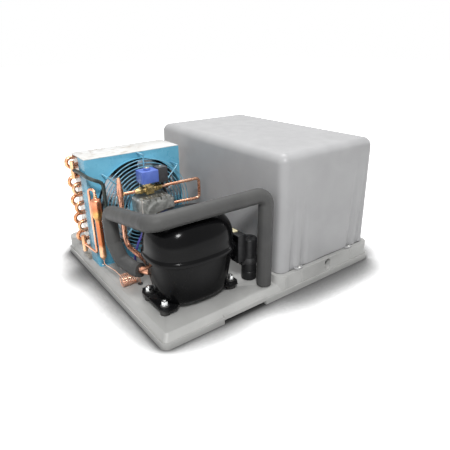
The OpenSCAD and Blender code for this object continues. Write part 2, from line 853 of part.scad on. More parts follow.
module fan_shroud() {
  color([0.37, 0.65, 0.74]) from_corner() {
    top = deck_h + cond_h;
    difference() {
      union() {
        box(cond_x0, cond_y, deck_h, cond_x1, cond_y + sheet_t, top);
        box(cond_x0, cond_y, deck_h, cond_x0 + sheet_t, fin_y - plate_gap, top);
        box(cond_x1 - sheet_t, cond_y, deck_h, cond_x1, fin_y - plate_gap, top);
        box(cond_x0, cond_y, top - sheet_t, cond_x1, fin_y - plate_gap, top);
        box(cond_x0, cond_y - shroud_foot, deck_h, cond_x1, cond_y + sheet_t, deck_h + sheet_t);
        translate([fan_x, cond_y - collar_h, fan_z]) along_y(opening_r + collar_t, collar_h + sheet_t);
      }
      translate([fan_x, cond_y - collar_h - overrun, fan_z])
        along_y(opening_r, collar_h + sheet_t + 2 * overrun);
      screw_places() translate([0, 0, deck_h - overrun])
        cylinder(r = screw_r + touch_gap, h = sheet_t + 2 * overrun);
    }
  }
}
shroud_foot = 14;

module screw_places() {
  for (s = [0.04, 0.5, 0.96])
    translate([cond_x0 + s * cond_w, cond_y - shroud_foot / 2, 0]) children();
}

module shroud_screws() {
  color([0.85, 0.85, 0.87]) from_corner() {
    screw_places() translate([0, 0, deck_h + sheet_t + touch_gap])
      cylinder(r1 = screw_head_r, r2 = screw_head_r * 0.7, h = screw_head_h);
    screw_places() translate([0, 0, deck_h + touch_gap]) cylinder(r = screw_r, h = sheet_t + 2 * touch_gap);
  }
}

// Axial fan, drawn about its own axis along Y, with the plate that it blows through at y = 0
module guard_shape(r, rings, pitch, arm_in, reach, angles) {
  ring_y = -guard_off;
  arm_y = ring_y - guard_wire_r - guard_arm_r - touch_gap / 2;
  for (i = [0:rings - 1])
    translate([0, ring_y, 0]) rotate([90, 0, 0])
      rotate_extrude() translate([r - i * pitch, 0]) circle(r = guard_wire_r, $fn = 16);
  for (a = angles) rotate([0, -a, 0]) {
    translate([arm_in, arm_y, 0]) along_x(guard_arm_r, reach - arm_in);
    translate([reach, arm_y - guard_arm_r * 1.2, 0])
      along_y(guard_arm_r * 1.2, -arm_y + guard_arm_r * 1.2 - touch_gap);
  }
}

module motor_boss(r, bore) {
  translate([0, boss_y, 0]) difference() {
    along_y(r, guard_boss_t);
    translate([0, -overrun, 0]) along_y(bore, guard_boss_t + 2 * overrun);
  }
}

module motor_shape(w, l, corner) {
  y1 = boss_y - touch_gap;
  difference() {
    union() {
      translate([-w / 2, y1, -w / 2]) rotate([90, 0, 0])
        linear_extrude(l - motor_cap_l) round_rect(w, w, corner);
      translate([0, y1 - l + motor_cap_l, 0]) rotate([90, 0, 0])
        cylinder(r1 = w * 0.47, r2 = w * 0.36, h = motor_cap_l);
    }
    translate([0, y1 - l / 2, 0]) along_y(shaft_d / 2 + running_gap, l);
    for (i = [0:motor_fin_count - 1])
      translate([w * ((i + 0.5) / motor_fin_count - 0.5) - motor_fin_w / 2, 0, 0])
        for (s = [-1, 1])
          translate([0, y1 - l + motor_cap_l - overrun, s * w / 2 - (s > 0 ? motor_fin_depth : overrun)])
            cube([motor_fin_w, motor_fin_l, motor_fin_depth + overrun]);
  }
}
motor_cap_l = 3;

module shaft_shape(l) {
  translate([0, boss_y - touch_gap - l * 0.45, 0]) along_y(shaft_d / 2, blade_y + hub_l / 2 + overrun - boss_y + touch_gap + l * 0.45);
}

module blades_shape(d, count) {
  tip = d / 2;
  translate([0, blade_y, 0]) {
    difference() {
      translate([0, -hub_l / 2, 0]) along_y(hub_r, hub_l);
      translate([0, -hub_l, 0]) along_y(shaft_d / 2 + running_gap / 2, 2 * hub_l);
    }
    for (i = [0:count - 1]) rotate([0, 360 * i / count, 0])
      intersection() {
        difference() {
          along_y_disc(tip, hub_l + 2 * overrun);
          along_y_disc(hub_r - 1, hub_l + 4 * overrun);
        }
        translate([hub_r - 1, 0, 0]) rotate([blade_pitch, 0, 0])
          blade_sheet(tip);
      }
  }
}

module along_y_disc(r, l) {
  translate([0, -l, 0]) along_y(r, 2 * l);
}

// One cambered blade: a slice of a thin barrel, cut to a paddle outline that widens to its tip
module blade_sheet(tip) {
  camber_r = tip * blade_camber_share;
  intersection() {
    translate([-overrun, camber_r - blade_t, 0]) difference() {
      along_x(camber_r, tip);
      translate([-overrun, 0, 0]) along_x(camber_r - blade_t, tip + 2 * overrun);
    }
    rotate([90, 0, 0]) translate([0, 0, -camber_r / 2]) linear_extrude(camber_r)
      polygon([for (p = blade_outline_shares) [p[0] * tip, p[1] * tip]]);
  }
}
blade_camber_share = 1.1;
blade_outline_shares = [
  [-0.02, -0.14], [0.3, -0.26], [0.6, -0.36], [0.76, -0.37], [0.84, -0.3],
  [0.9, -0.1], [0.9, 0.16], [0.84, 0.32], [0.7, 0.36], [0.5, 0.3], [0.25, 0.21], [-0.02, 0.14]
];

module at_cond_fan() {
  from_corner() translate([fan_x, cond_y, fan_z]) children();
}

module at_evap_fan() {
  from_corner() translate([evap_fan_x, evap_fan_y, evap_fan_z]) rotate([0, 0, 180]) children();
}
guard_off = 32;
boss_y = -guard_off - guard_wire_r - 2 * guard_arm_r - touch_gap - guard_boss_t;
blade_y = -4;

module fan_guard() {
  color([0.36, 0.62, 0.68]) at_cond_fan() {
    guard_shape(guard_r, guard_rings, guard_pitch, guard_arm_in, guard_arm_reach, guard_arm_angles);
    motor_boss(guard_boss_r, hub_r);
  }
}

module fan_motor() {
  color([0.72, 0.73, 0.72]) at_cond_fan() motor_shape(motor_w, motor_l, motor_corner_r);
}

module fan_shaft() {
  color([0.7, 0.71, 0.73]) at_cond_fan() shaft_shape(motor_l);
}

module fan_blades() {
  color([0.82, 0.83, 0.85]) at_cond_fan() blades_shape(fan_d, blade_count);
}

module evaporator_fan_plate() {
  color([0.78, 0.79, 0.8]) from_corner() difference() {
    box(chamber_x0 + chamber_gap, evap_fan_y - sheet_t, plinth_h + touch_gap,
      chamber_x1 - chamber_gap, evap_fan_y, chamber_z1 - chamber_gap);
    translate([evap_fan_x, evap_fan_y - sheet_t - overrun, evap_fan_z])
      along_y(evap_fan_d / 2 + fan_tip_gap, sheet_t + 2 * overrun);
  }
}

module evaporator_fan_guard() {
  color([0.2, 0.2, 0.21]) at_evap_fan() {
    r = evap_fan_d / 2 + fan_tip_gap + 2;
    guard_shape(r, evap_guard_rings, guard_pitch, guard_arm_in * 0.8, r + 8, [45, 135, 225, 315]);
    motor_boss(guard_boss_r * 0.8, hub_r);
  }
}
evap_guard_rings = 6;

module evaporator_fan_motor() {
  color([0.72, 0.73, 0.72]) at_evap_fan() motor_shape(evap_motor_w, evap_motor_l, motor_corner_r);
}

module evaporator_fan_shaft() {
  color([0.7, 0.71, 0.73]) at_evap_fan() shaft_shape(evap_motor_l);
}

module evaporator_fan_blades() {
  color([0.82, 0.83, 0.85]) at_evap_fan() blades_shape(evap_fan_d, blade_count_evap);
}

evap_ys = [evap_y + evap_d / 4, evap_y + evap_d * 3 / 4];
evap_tube_z = evap_z0 + tube_pitch / 4;

module evaporator_fins() {
  color([0.8, 0.81, 0.82]) from_corner()
    coil_fins(evap_x0 + evap_plate_t, evap_x1 - evap_plate_t, evap_y, evap_y + evap_d,
      evap_z0, evap_z0 + evap_h + tube_pitch / 2, evap_ys, evap_tube_z, evap_rows, evap_tube_d);
}

module evaporator_end_plates() {
  color([0.74, 0.75, 0.76]) from_corner()
    for (side = [0, 1])
      end_plate(side == 0 ? evap_x0 : evap_x1 - evap_plate_t, evap_plate_t, evap_y, evap_y + evap_d,
        drip_z + tray_t, evap_z0 + evap_h + tube_pitch / 2, side == 0 ? -evap_plate_t : evap_plate_t,
        evap_ys, evap_tube_z, evap_rows, evap_tube_d);
}

module evaporator_tubes() {
  color([0.77, 0.42, 0.26]) from_corner()
    coil_straights(evap_x0 - tube_stub, evap_x1 + tube_stub, evap_ys, evap_tube_z, evap_rows, evap_tube_d);
}

module evaporator_bends() {
  color([0.78, 0.44, 0.28]) from_corner()
    coil_bends(evap_x0 - tube_stub, evap_x1 + tube_stub, evap_ys, evap_tube_z, evap_rows, evap_tube_d);
}

// Compressor shells: rings that follow a superellipse, closed inside and out
function shell_ring(grow, size, z, n) =
  [
    for (i = [0:n - 1])
      let (a = 360 * i / n, c = cos(a), s = sin(a), e = 2 / shell_power)
      [
        comp_x + (shell_l / 2 + grow) * size * sign(c) * pow(abs(c), e),
        comp_y + (shell_d / 2 + grow) * size * sign(s) * pow(abs(s), e),
        z
      ]
  ];

module loft(ring_list) {
  n = len(ring_list[0]);
  last = len(ring_list) - 1;
  walls = [
    for (i = [0:last - 1], j = [0:n - 1])
      let (k = (j + 1) % n, a = i * n, b = a + n)
      each [[a + j, b + k, a + k], [a + j, b + j, b + k]]
  ];
  low = [for (j = [1:n - 2]) [0, j, j + 1]];
  high = [for (j = [1:n - 2]) [last * n, last * n + j + 1, last * n + j]];
  polyhedron(points = [for (r = ring_list) each r], faces = concat(walls, low, high));
}

function dome_rings(grow, z0, h, steps, n) =
  [
    for (i = [0:steps])
      let (a = 86 * i / steps)
      shell_ring(grow, pow(cos(a), 2 / dome_power), z0 + h * pow(sin(a), 2 / dome_power) / dome_full, n)
  ];
dome_power = 2.5;
dome_full = pow(sin(86), 2 / dome_power);
low_taper_shares = [[0.79, 0], [0.825, 0.03], [0.85, 0.09], [0.872, 0.2], [0.93, 0.55], [1, 1]];
function low_rings(grow, z0, h, n) =
  [for (s = low_taper_shares) shell_ring(grow, s[0], z0 + s[1] * h, n)];

module compressor_lower_shell() {
  color([0.05, 0.05, 0.055]) from_corner() difference() {
    union() {
      loft(low_rings(0, shell_z0, lower_shell_h - touch_gap, 56));
      box(comp_x + shell_l / 4, relay_y0 + relay_fence, relay_z0 + relay_fence,
        relay_x0 - touch_gap, relay_y0 + relay_w - relay_fence, seam_z - relay_fence);
    }
    loft(low_rings(-shell_wall, shell_z0 + shell_wall, lower_shell_h, 40));
    stub_shapes(touch_gap);
  }
}

module compressor_upper_shell() {
  color([0.05, 0.05, 0.055]) from_corner() difference() {
    union() {
      loft(dome_rings(0, seam_z, dome_h, 14, 56));
      loft([shell_ring(seam_rim, 1, seam_z, 56), shell_ring(seam_rim, 1, seam_z + seam_rim_h, 56),
        shell_ring(0, 1, seam_z + seam_rim_h + seam_rim, 56)]);
    }
    loft(concat([shell_ring(-shell_wall, 1, seam_z - overrun, 40)],
      dome_rings(-shell_wall, seam_z, dome_h - shell_wall, 8, 40)));
  }
}

module compressor_foot_plates() {
  color([0.06, 0.06, 0.065]) from_corner() {
    for (side = [-1, 1]) translate([comp_x + side * foot_l / 2, comp_y, foot_z]) difference() {
      linear_extrude(foot_t) mirror([side < 0 ? 0 : 1, 0]) foot_outline();
      for (y = [-1, 1]) translate([0, y * foot_w / 2, -overrun])
        cylinder(r = foot_hole_r + grommet_neck_r, h = foot_t + 2 * overrun);
      translate([-side * -foot_plate_w * 0.16, foot_w * 0.24, -overrun])
        cylinder(r = foot_hole_r, h = foot_t + 2 * overrun);
    }
  }
}

// Left foot seen from above; the right one is its mirror image
module foot_outline() {
  out = foot_plate_w * 0.28;
  inn = foot_plate_w * 0.72;
  half = foot_w / 2 + foot_plate_over;
  cut = foot_plate_over * 0.7;
  polygon([
    [-out, -half + cut], [-out + cut * 0.6, -half], [cut, -half], [inn, -half + cut],
    [inn, half - cut], [cut, half], [-out + cut * 0.6, half], [-out, half - cut]
  ]);
}

module compressor_grommets() {
  color([0.09, 0.09, 0.09]) from_corner() stud_places() difference() {
    union() {
      translate([0, 0, deck_h + touch_gap]) cylinder(r = grommet_r, h = foot_z - deck_h - 2 * touch_gap);
      translate([0, 0, foot_z - touch_gap - overrun])
        cylinder(r = foot_hole_r + grommet_neck_r - touch_gap, h = foot_t + 2 * touch_gap + overrun);
      translate([0, 0, foot_z + foot_t + touch_gap])
        cylinder(r1 = grommet_head_r, r2 = grommet_head_r * 0.86, h = grommet_head_h);
    }
    translate([0, 0, deck_h - overrun]) cylinder(r = stud_r + touch_gap, h = foot_z);
  }
}

module compressor_fasteners() {
  color([0.86, 0.87, 0.88]) from_corner() stud_places() {
    seat = foot_z + foot_t + touch_gap + grommet_head_h + touch_gap;
    translate([0, 0, deck_h - tray_wall - 2 * washer_t]) cylinder(r = washer_r * 0.9, h = 2 * washer_t - touch_gap);
    translate([0, 0, deck_h - tray_wall - washer_t]) cylinder(r = stud_r, h = stud_h + washer_t);
    translate([0, 0, seat]) difference() {
      union() {
        cylinder(r = washer_r, h = washer_t);
        translate([0, 0, washer_t]) cylinder(r = nut_af / sqrt(3), h = nut_h, $fn = 6);
      }
      translate([0, 0, -overrun]) cylinder(r = stud_r, h = nut_h + 4 * overrun);
    }
  }
}

suction_dir = unit([-15, 38, -5]);
stub_root = [stub_x, stub_y, stub_z];
stub_end = stub_root + suction_dir * (stub_l * 1.25);
discharge_root = [riser_x, comp_y + shell_d * 0.35, riser_low_z];
stub_wall = 1.2;

// Suction, discharge and process stubs; grow widens them to cut their holes in the shell
module stub_shapes(grow) {
  translate(stub_root) rotate([0, acos(suction_dir.z), atan2(suction_dir.y, suction_dir.x)])
    cylinder(r = suction_d / 2 + stub_wall + grow, h = stub_l * 1.25);
  translate(discharge_root) along_y(riser_d / 2 + stub_wall + grow, discharge_stub_l);
  translate([comp_x - shell_l / 2 - process_l / 2, comp_y + process_y, seam_z - process_drop])
    along_x(process_r + grow, process_l);
}
discharge_stub_l = 34;

module compressor_stubs() {
  color([0.7, 0.4, 0.25]) from_corner() stub_shapes(0);
}
process_l = 30;
process_r = 4;
process_y = 12;
process_drop = 30;

module compressor_stator() {
  color([0.45, 0.46, 0.48]) from_corner() translate([comp_x, comp_y, stator_z]) difference() {
    cylinder(r = stator_r, h = stator_h);
    translate([0, 0, -overrun]) cylinder(r = rotor_r + rotor_gap, h = stator_h + 2 * overrun);
  }
}
stator_r = min(shell_d * 0.36, shell_l * 0.3);
rotor_r = stator_r * 0.54;
rotor_gap = 0.5;
stator_z = shell_z0 + shell_wall + 16;
stator_h = lower_shell_h * 0.46;
main_shaft_r = 8;
crank_r = 5;
crank_off = 6;
pump_z = stator_z + stator_h + touch_gap;
pump_plate_h = 10;
pump_h = 34;

module compressor_rotor() {
  color([0.5, 0.5, 0.52]) from_corner() translate([comp_x, comp_y, 0]) {
    translate([0, 0, stator_z]) cylinder(r = rotor_r, h = stator_h - overrun);
    translate([0, 0, stator_z + overrun]) cylinder(r = main_shaft_r, h = stator_h + pump_plate_h + overrun);
    translate([0, 0, pump_z + pump_plate_h + overrun]) cylinder(r = main_shaft_r + crank_off, h = crank_r);
    translate([crank_off, 0, pump_z + pump_plate_h + overrun]) cylinder(r = crank_r, h = pump_h * 0.6);
  }
}

module compressor_pump() {
  color([0.38, 0.38, 0.4]) from_corner() translate([comp_x, comp_y, pump_z]) difference() {
    union() {
      cylinder(r = stator_r * 0.86, h = pump_plate_h);
      translate([-stator_r * 0.8, -stator_r * 0.45, pump_plate_h - touch_gap])
        cube([stator_r * 1.6, stator_r * 0.9, pump_h]);
    }
    translate([0, 0, -overrun]) cylinder(r = main_shaft_r + running_gap, h = pump_plate_h + 2 * overrun);
    translate([0, 0, pump_plate_h]) cylinder(r = stator_r * 0.42, h = pump_h + overrun);
    translate([stator_r * 0.2, 0, pump_plate_h + pump_h * 0.5]) along_x(pump_h * 0.34, stator_r * 0.8);
  }
}

module compressor_springs() {
  color([0.6, 0.6, 0.62]) from_corner()
    for (a = [45:90:315])
      translate([comp_x + stator_r * 0.75 * cos(a), comp_y + stator_r * 0.75 * sin(a), shell_z0 + shell_wall])
        difference() {
          cylinder(r = spring_r, h = stator_z - shell_z0 - shell_wall);
          translate([0, 0, -overrun]) cylinder(r = spring_r * 0.6, h = stator_z);
        }
}
spring_r = 7;

module relay_cover() {
  color([0.07, 0.07, 0.075]) from_corner() difference() {
    box(relay_x0, relay_y0, relay_z0, relay_x1, relay_y0 + relay_w, relay_z0 + relay_h);
    box(relay_x0 - overrun, relay_y0 + tray_wall, relay_z0 + tray_wall,
      relay_x1 - tray_wall, relay_y0 + relay_w - tray_wall, relay_z0 + relay_h - tray_wall);
  }
}

module relay_connector() {
  color([0.85, 0.84, 0.72]) from_corner()
    box(relay_x0 + relay_t * 0.2, relay_y0 + relay_w * 0.35, relay_z0 + relay_h,
      relay_x1 - relay_t * 0.2, relay_y0 + relay_w * 0.75, relay_z0 + relay_h + overrun);
}

module start_capacitor() {
  color([0.06, 0.06, 0.065]) from_corner() translate([cap_x, cap_y, deck_h]) rotate_extrude() {
    r = cap_d / 2;
    e = r * 0.12;
    polygon([[0, 0], [r - e, 0], [r, e], [r, cap_h * 0.2], [r - e * 0.4, cap_h * 0.21],
      [r - e * 0.4, cap_h * 0.225], [r, cap_h * 0.235], [r, cap_h - e], [r - e, cap_h],
      [r * 0.5, cap_h], [r * 0.46, cap_h - e], [r * 0.2, cap_h - e], [r * 0.16, cap_h], [0, cap_h]]);
  }
}

module capacitor_strap() {
  color([0.1, 0.1, 0.105]) from_corner() {
    z0 = deck_h + cap_h * 0.41;
    h = cap_h * 0.15;
    r = cap_d / 2 + touch_gap;
    difference() {
      union() {
        translate([cap_x, cap_y, z0]) cylinder(r = r + strap_t, h = h);
        box(relay_x1 + touch_gap, cap_y - h / 2, z0, cap_x, cap_y + h / 2, z0 + h);
      }
      translate([cap_x, cap_y, z0 - overrun]) cylinder(r = r, h = h + 2 * overrun);
    }
    box(relay_x1 + touch_gap, cap_y - h / 2, z0, relay_x1 + touch_gap + strap_t, cap_y + h / 2,
      relay_z0 + h);
  }
}
strap_t = 1.2;

// Refrigerant lines of the hot side
module discharge_riser() {
  color([0.76, 0.42, 0.27]) from_corner() {
    low = discharge_root + [0, discharge_stub_l + touch_gap, 0];
    top = [riser_x, valve_y, riser_top_z - riser_pinch];
    tube(route([low, [riser_x, valve_y, riser_low_z], top], riser_bend), riser_d / 2, 14);
    hull() {
      translate(top) cylinder(r = riser_d / 2, h = 0.2, $fn = 24);
      translate(top + [-riser_d / 4, -riser_d * 0.1, riser_pinch]) cube([riser_d / 2, riser_d * 0.2, 0.2]);
    }
  }
}
riser_bend = 28;
riser_pinch = 16;

module discharge_sleeve() {
  color([0.07, 0.08, 0.08]) from_corner() {
    z = row_z(cond_tube_z, 0, cond_rows - 1) - tube_pitch / 2;
    start = [header_x, row_ys[0] - header_r - touch_gap, z];
    tube(route([start, start - [0, sleeve_shift, 0], [sleeve_side_x, fin_y - 2 * sleeve_shift, z],
      [sleeve_side_x, sleeve_y, z],
      [sleeve_x, sleeve_y, sleeve_top_z],
      [sleeve_x, sleeve_y, riser_low_z + riser_d], [riser_x - riser_d / 2 - touch_gap, valve_y, riser_low_z + riser_d]],
      sleeve_bend), sleeve_r, 12);
  }
}
header_x = fin_x0 - end_plate_t - cond_stub - header_r - touch_gap;
sleeve_bend = 16;
sleeve_shift = 3.5;
sleeve_wall = 0.4;
sleeve_r = gas_tube_d / 2 + sleeve_wall;
sleeve_side_gap = 2.6;
sleeve_side_x = cond_x0 - sleeve_r - sleeve_side_gap;

module hot_gas_inlet() {
  color([0.78, 0.46, 0.3]) from_corner()
    tube([[riser_x + riser_d / 2 + touch_gap, valve_y, valve_z],
      [valve_x - body_l / 2 + flare_l * 0.7, valve_y, valve_z]], gas_tube_d / 2, 12);
}

module hot_gas_outlet() {
  color([0.76, 0.44, 0.28]) from_corner() {
    tube(route([
      [valve_x + body_l / 2 - flare_l * 0.7, valve_y, valve_z], [gas_drop_x, valve_y, valve_z],
      [gas_drop_x, valve_y, gas_back_z], [gas_back_x, gas_drop_y, gas_back_z],
      [gas_back_x, gas_drop_y, under_z], [gas_back_x, gas_in_y, under_z],
      [evap_in_x, gas_in_y, under_z], [evap_in_x, gas_in_y, evap_low_z],
      [evap_in_x, evap_ys[0], evap_low_z], [evap_header_x - header_r - touch_gap, evap_ys[0], evap_low_z]
    ], gas_bend), gas_tube_d / 2, 10);
  }
}
gas_bend = 10;
evap_header_x = evap_x0 - tube_stub - header_r - touch_gap;
evap_low_z = row_z(evap_tube_z, 0, 0) + tube_pitch / 2;
evap_high_z = row_z(evap_tube_z, 0, evap_rows - 2) + tube_pitch / 2;

// Solenoid valve: brass body with a stem that the coil and the plunger share
module valve_body() {
  color([0.82, 0.68, 0.36]) from_corner() translate([valve_x, valve_y, valve_z]) difference() {
    union() {
      translate([-body_r, -body_r, -body_r]) cube([2 * body_r, 2 * body_r, 2 * body_r]);
      translate([-body_l / 2, 0, 0]) along_x(flare_r, body_l);
      for (s = [-1, 1]) translate([s * body_l * 0.31 - flare_l / 4, 0, 0]) rotate([0, 90, 0])
        cylinder(r = body_r * 0.95, h = flare_l / 2, $fn = 6);
      cylinder(r = body_r * 0.9, h = coil_z0 - valve_z - touch_gap);
      cylinder(r = stem_r, h = stem_h - touch_gap);
    }
    for (s = [-1, 1]) translate([s > 0 ? body_l / 2 - flare_l : -body_l / 2 - overrun, 0, 0])
      along_x(gas_tube_d / 2 + touch_gap, flare_l + overrun);
    translate([-body_l / 2, 0, 0]) along_x(gas_tube_d * 0.3, body_l);
    translate([0, 0, -body_r * 0.4]) cylinder(r = plunger_r + running_gap, h = plunger_room);
  }
}
stem_h = coil_z0 - valve_z + coil_h + stem_top;
plunger_room = body_r * 0.4 + stem_h - 3;

module valve_plunger() {
  color([0.62, 0.63, 0.65]) from_corner() translate([valve_x, valve_y, valve_z + plunger_seat]) {
    cylinder(r = plunger_r, h = plunger_l);
    translate([0, 0, plunger_l]) cylinder(r = plunger_r * 0.5, h = plunger_l * 0.2);
  }
}
plunger_seat = gas_tube_d * 0.3 + 0.3;

module valve_coil() {
  color([0.22, 0.34, 0.75]) from_corner() translate([valve_x, valve_y, coil_z0]) {
    difference() {
      translate([-coil_w / 2, -coil_depth / 2, 0]) cube([coil_w, coil_depth, coil_h]);
      translate([0, 0, -overrun]) cylinder(r = stem_r + touch_gap, h = coil_h + 2 * overrun);
    }
    translate([0, 0, coil_h + touch_gap]) difference() {
      cylinder(r = nut_af / sqrt(3) * 1.3, h = coil_nut_h, $fn = 6);
      translate([0, 0, -overrun]) cylinder(r = stem_r + touch_gap, h = coil_nut_h + 2 * overrun);
    }
  }
}

module valve_connector() {
  color([0.12, 0.12, 0.13]) from_corner() {
    x0 = valve_x + coil_w / 2 + connector_gap;
    z0 = coil_z0 - connector_h * 0.12;
    box(x0, valve_y - connector_w / 2, z0, x0 + connector_w, valve_y + connector_w / 2, z0 + connector_h);
    box(valve_x + coil_w / 2 + touch_gap, valve_y - connector_w / 4, z0 + connector_h * 0.3,
      x0, valve_y + connector_w / 4, z0 + connector_h * 0.7);
    translate([cable_x, cable_y, z0 - cable_boss_h]) cylinder(r = cable_r + 1.5, h = cable_boss_h);
  }
}
cable_r = 3.5;
cable_boss_h = 5;
cable_x = valve_x + coil_w / 2 + connector_gap + connector_w - cable_r - 1.5;
cable_y = valve_y + connector_w / 2 - cable_r - 1.5;
cable_route = [[0, 0, 0], [0, 0, -12], [14, 13, -34], [24, 13, -70]];

module valve_cable() {
  color([0.05, 0.05, 0.05]) from_corner() {
    start = [cable_x, cable_y, coil_z0 - connector_h * 0.12 - cable_boss_h];
    foot = [start.x + cable_route[3].x, start.y + cable_route[3].y, deck_h + touch_gap];
    tube(route(concat([for (p = cable_route) start + p], [foot]), cable_r * 2.5), cable_r, 10);
  }
}

lead_r = 3;
lead_route = [[0, 0, 0], [0, 0, -12], [-18, -6, -34], [-34, -14, -62]];
module fan_motor_lead() {
  color([0.27, 0.25, 0.62]) from_corner() {
    start = [fan_x - motor_w * 0.35, cond_y + boss_y - motor_l * 0.3, fan_z - motor_w / 2 - touch_gap];
    foot = [start.x + lead_route[3].x, start.y + lead_route[3].y, deck_h + touch_gap];
    tube(route(concat([for (p = lead_route) start + p], [foot]), lead_r * 2.5), lead_r, 8);
  }
}

module filter_drier() {
  color([0.74, 0.38, 0.22]) from_corner() translate([drier_x, drier_y, drier_z0]) rotate_extrude() {
    r = drier_r;
    n = drier_neck_r;
    h = drier_h;
    polygon([[0, 0], [n * 0.35, 0], [n * 0.85, h * 0.035], [n * 1.03, h * 0.06], [n * 1.03, h * 0.21],
      [n * 0.97, h * 0.22], [n, h * 0.24], [n, h * 0.66], [r * 0.82, h * 0.69], [r * 0.96, h * 0.72],
      [r, h * 0.75], [r, h * 0.94], [r * 0.94, h * 0.965], [r * 0.7, h * 0.985], [n * 0.5, h],
      [n * 0.5, h * 1.02], [0, h * 1.02]]);
  }
}

module liquid_tube() {
  color([0.8, 0.55, 0.42]) from_corner() {
    z = row_z(cond_tube_z, 0, 0) + tube_pitch / 2;
    start = [header_x, row_ys[0] - header_r - touch_gap, z];
    top = drier_z0 + drier_h * 1.02 + touch_gap;
    tube(route([start, [loop_x, loop_y, z], [loop_x, loop_y, top + loop_h],
      [drier_x, drier_y, top + loop_h], [drier_x, drier_y, top]], loop_r), liquid_tube_d / 2, 10);
  }
}
loop_x = 9.5;
loop_run = 19;
loop_y = drier_y + loop_run;
loop_r = 9.5;
loop_h = 16;

// Capillary: one tube from the drier through its storage coil and under the deck
loop_rings = 24;
coil_steps = loop_rings * coil_turns + loop_rings / 4;
function coil_point(i) =
  let (a = 360 * i / loop_rings)
  [
    coil_x0 + coil_l * i / coil_steps,
    coil_y - coil_loop_r * sin(a),
    coil_z + coil_loop_r * cos(a)
  ];
coil_points = [for (i = [0:coil_steps]) coil_point(i)];
coil_gap = min([for (i = [0:coil_steps - loop_rings]) norm(coil_points[i] - coil_points[i + loop_rings])])
  - capillary_d;
echo("least gap between turns of the capillary coil", coil_gap);

cap_in_z = evap_low_z - tube_pitch * 0.55;

module capillary_tube() {
  color([0.74, 0.4, 0.25]) from_corner() {
    drier_end = [drier_x, drier_y, drier_z0 - touch_gap];
    lead_in = route([drier_end, [drier_x, drier_y, drier_z0 - drier_r],
      [coil_x0, coil_y + coil_loop_r * 2, coil_z + coil_loop_r], [coil_x0, coil_y + capillary_d, coil_z + coil_loop_r]],
      capillary_d * 1.5);
    lead_out = route([coil_points[coil_steps] - [0, 0, capillary_d], [cap_drop_x, cap_drop_y, under_z],
      [evap_in_x, cap_drop_y, under_z], [evap_in_x, cap_drop_y, cap_in_z],
      [evap_in_x, evap_ys[0], cap_in_z], [evap_header_x - header_r - touch_gap, evap_ys[0], cap_in_z]],
      capillary_d * 2);
    tube(concat(lead_in, coil_points, lead_out), capillary_d / 2, 6);
  }
}

// Suction line: copper tube in foam insulation, from the compressor to the evaporator
hose_points = [
  stub_end + suction_dir * touch_gap,
  stub_end + suction_dir * hose_r,
  stub_end + suction_dir * hose_r + [-hose_r * 0.9, hose_r * 2, hose_r * 0.85],
  [hose_left_x, hose_corner_y - hose_r * 0.24, hose_corner_z - hose_r * 4.2],
  [hose_left_x, hose_corner_y, hose_corner_z],
  [hose_left_x + hose_r * 0.12, hose_y + hose_r * 1.53, hose_top_z - hose_r * 0.65],
  [hose_x, hose_y, hose_top_z],
  [hose_x, hose_y, deck_h + grommet_lip + 2 * touch_gap]
];
hose_bend = 24;
hose_path = route(hose_points, hose_bend, 12);

module suction_insulation() {
  color([0.24, 0.24, 0.25]) from_corner() difference() {
    path = hose_path;
    tube(path, hose_r, 20);
    over = concat([path[0] - suction_dir * overrun], path, [path[len(path) - 1] - [0, 0, overrun]]);
    tube(over, hose_bore_r, 12);
  }
}

module suction_tube() {
  color([0.72, 0.42, 0.27]) from_corner() {
    below = route([
      hose_points[len(hose_points) - 1], [hose_x, hose_y, under_z], [hose_x, suction_in_y, under_z],
      [evap_in_x, suction_in_y, under_z], [evap_in_x, suction_in_y, evap_high_z],
      [evap_in_x, evap_ys[0], evap_high_z], [evap_header_x - header_r - touch_gap, evap_ys[0], evap_high_z]
    ], suction_bend);
    tube(concat(hose_path, [for (i = [1:len(below) - 1]) below[i]]), suction_d / 2, 12);
  }
}
suction_bend = 9;

base_tray();
base_foam();
bottom_pan();
plinth_seal();
evaporator_cover();
cover_screws();
chamber_liner();
drip_tray();
drain_spout();
tube_grommets();
cable_gland();
evaporator_fins();
evaporator_end_plates();
evaporator_tubes();
evaporator_bends();
evaporator_fan_plate();
evaporator_fan_guard();
evaporator_fan_motor();
evaporator_fan_shaft();
evaporator_fan_blades();
condenser_fins();
condenser_end_plates();
condenser_tubes();
condenser_bends();
condenser_top_plate();
fan_shroud();
fan_guard();
fan_motor();
fan_shaft();
fan_blades();
shroud_screws();
compressor_lower_shell();
compressor_upper_shell();
compressor_foot_plates();
compressor_grommets();
compressor_fasteners();
compressor_stubs();
compressor_stator();
compressor_rotor();
compressor_pump();
compressor_springs();
relay_cover();
relay_connector();
start_capacitor();
capacitor_strap();
discharge_riser();
discharge_sleeve();
hot_gas_inlet();
hot_gas_outlet();
valve_body();
valve_coil();
valve_connector();
valve_plunger();
valve_cable();
fan_motor_lead();
filter_drier();
liquid_tube();
capillary_tube();
suction_insulation();
suction_tube();
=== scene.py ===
from math import ceil, copysign, cos, degrees, exp, hypot, pi, radians, sin, sqrt, tan

import bpy
from mathutils import Matrix, Quaternion, Vector


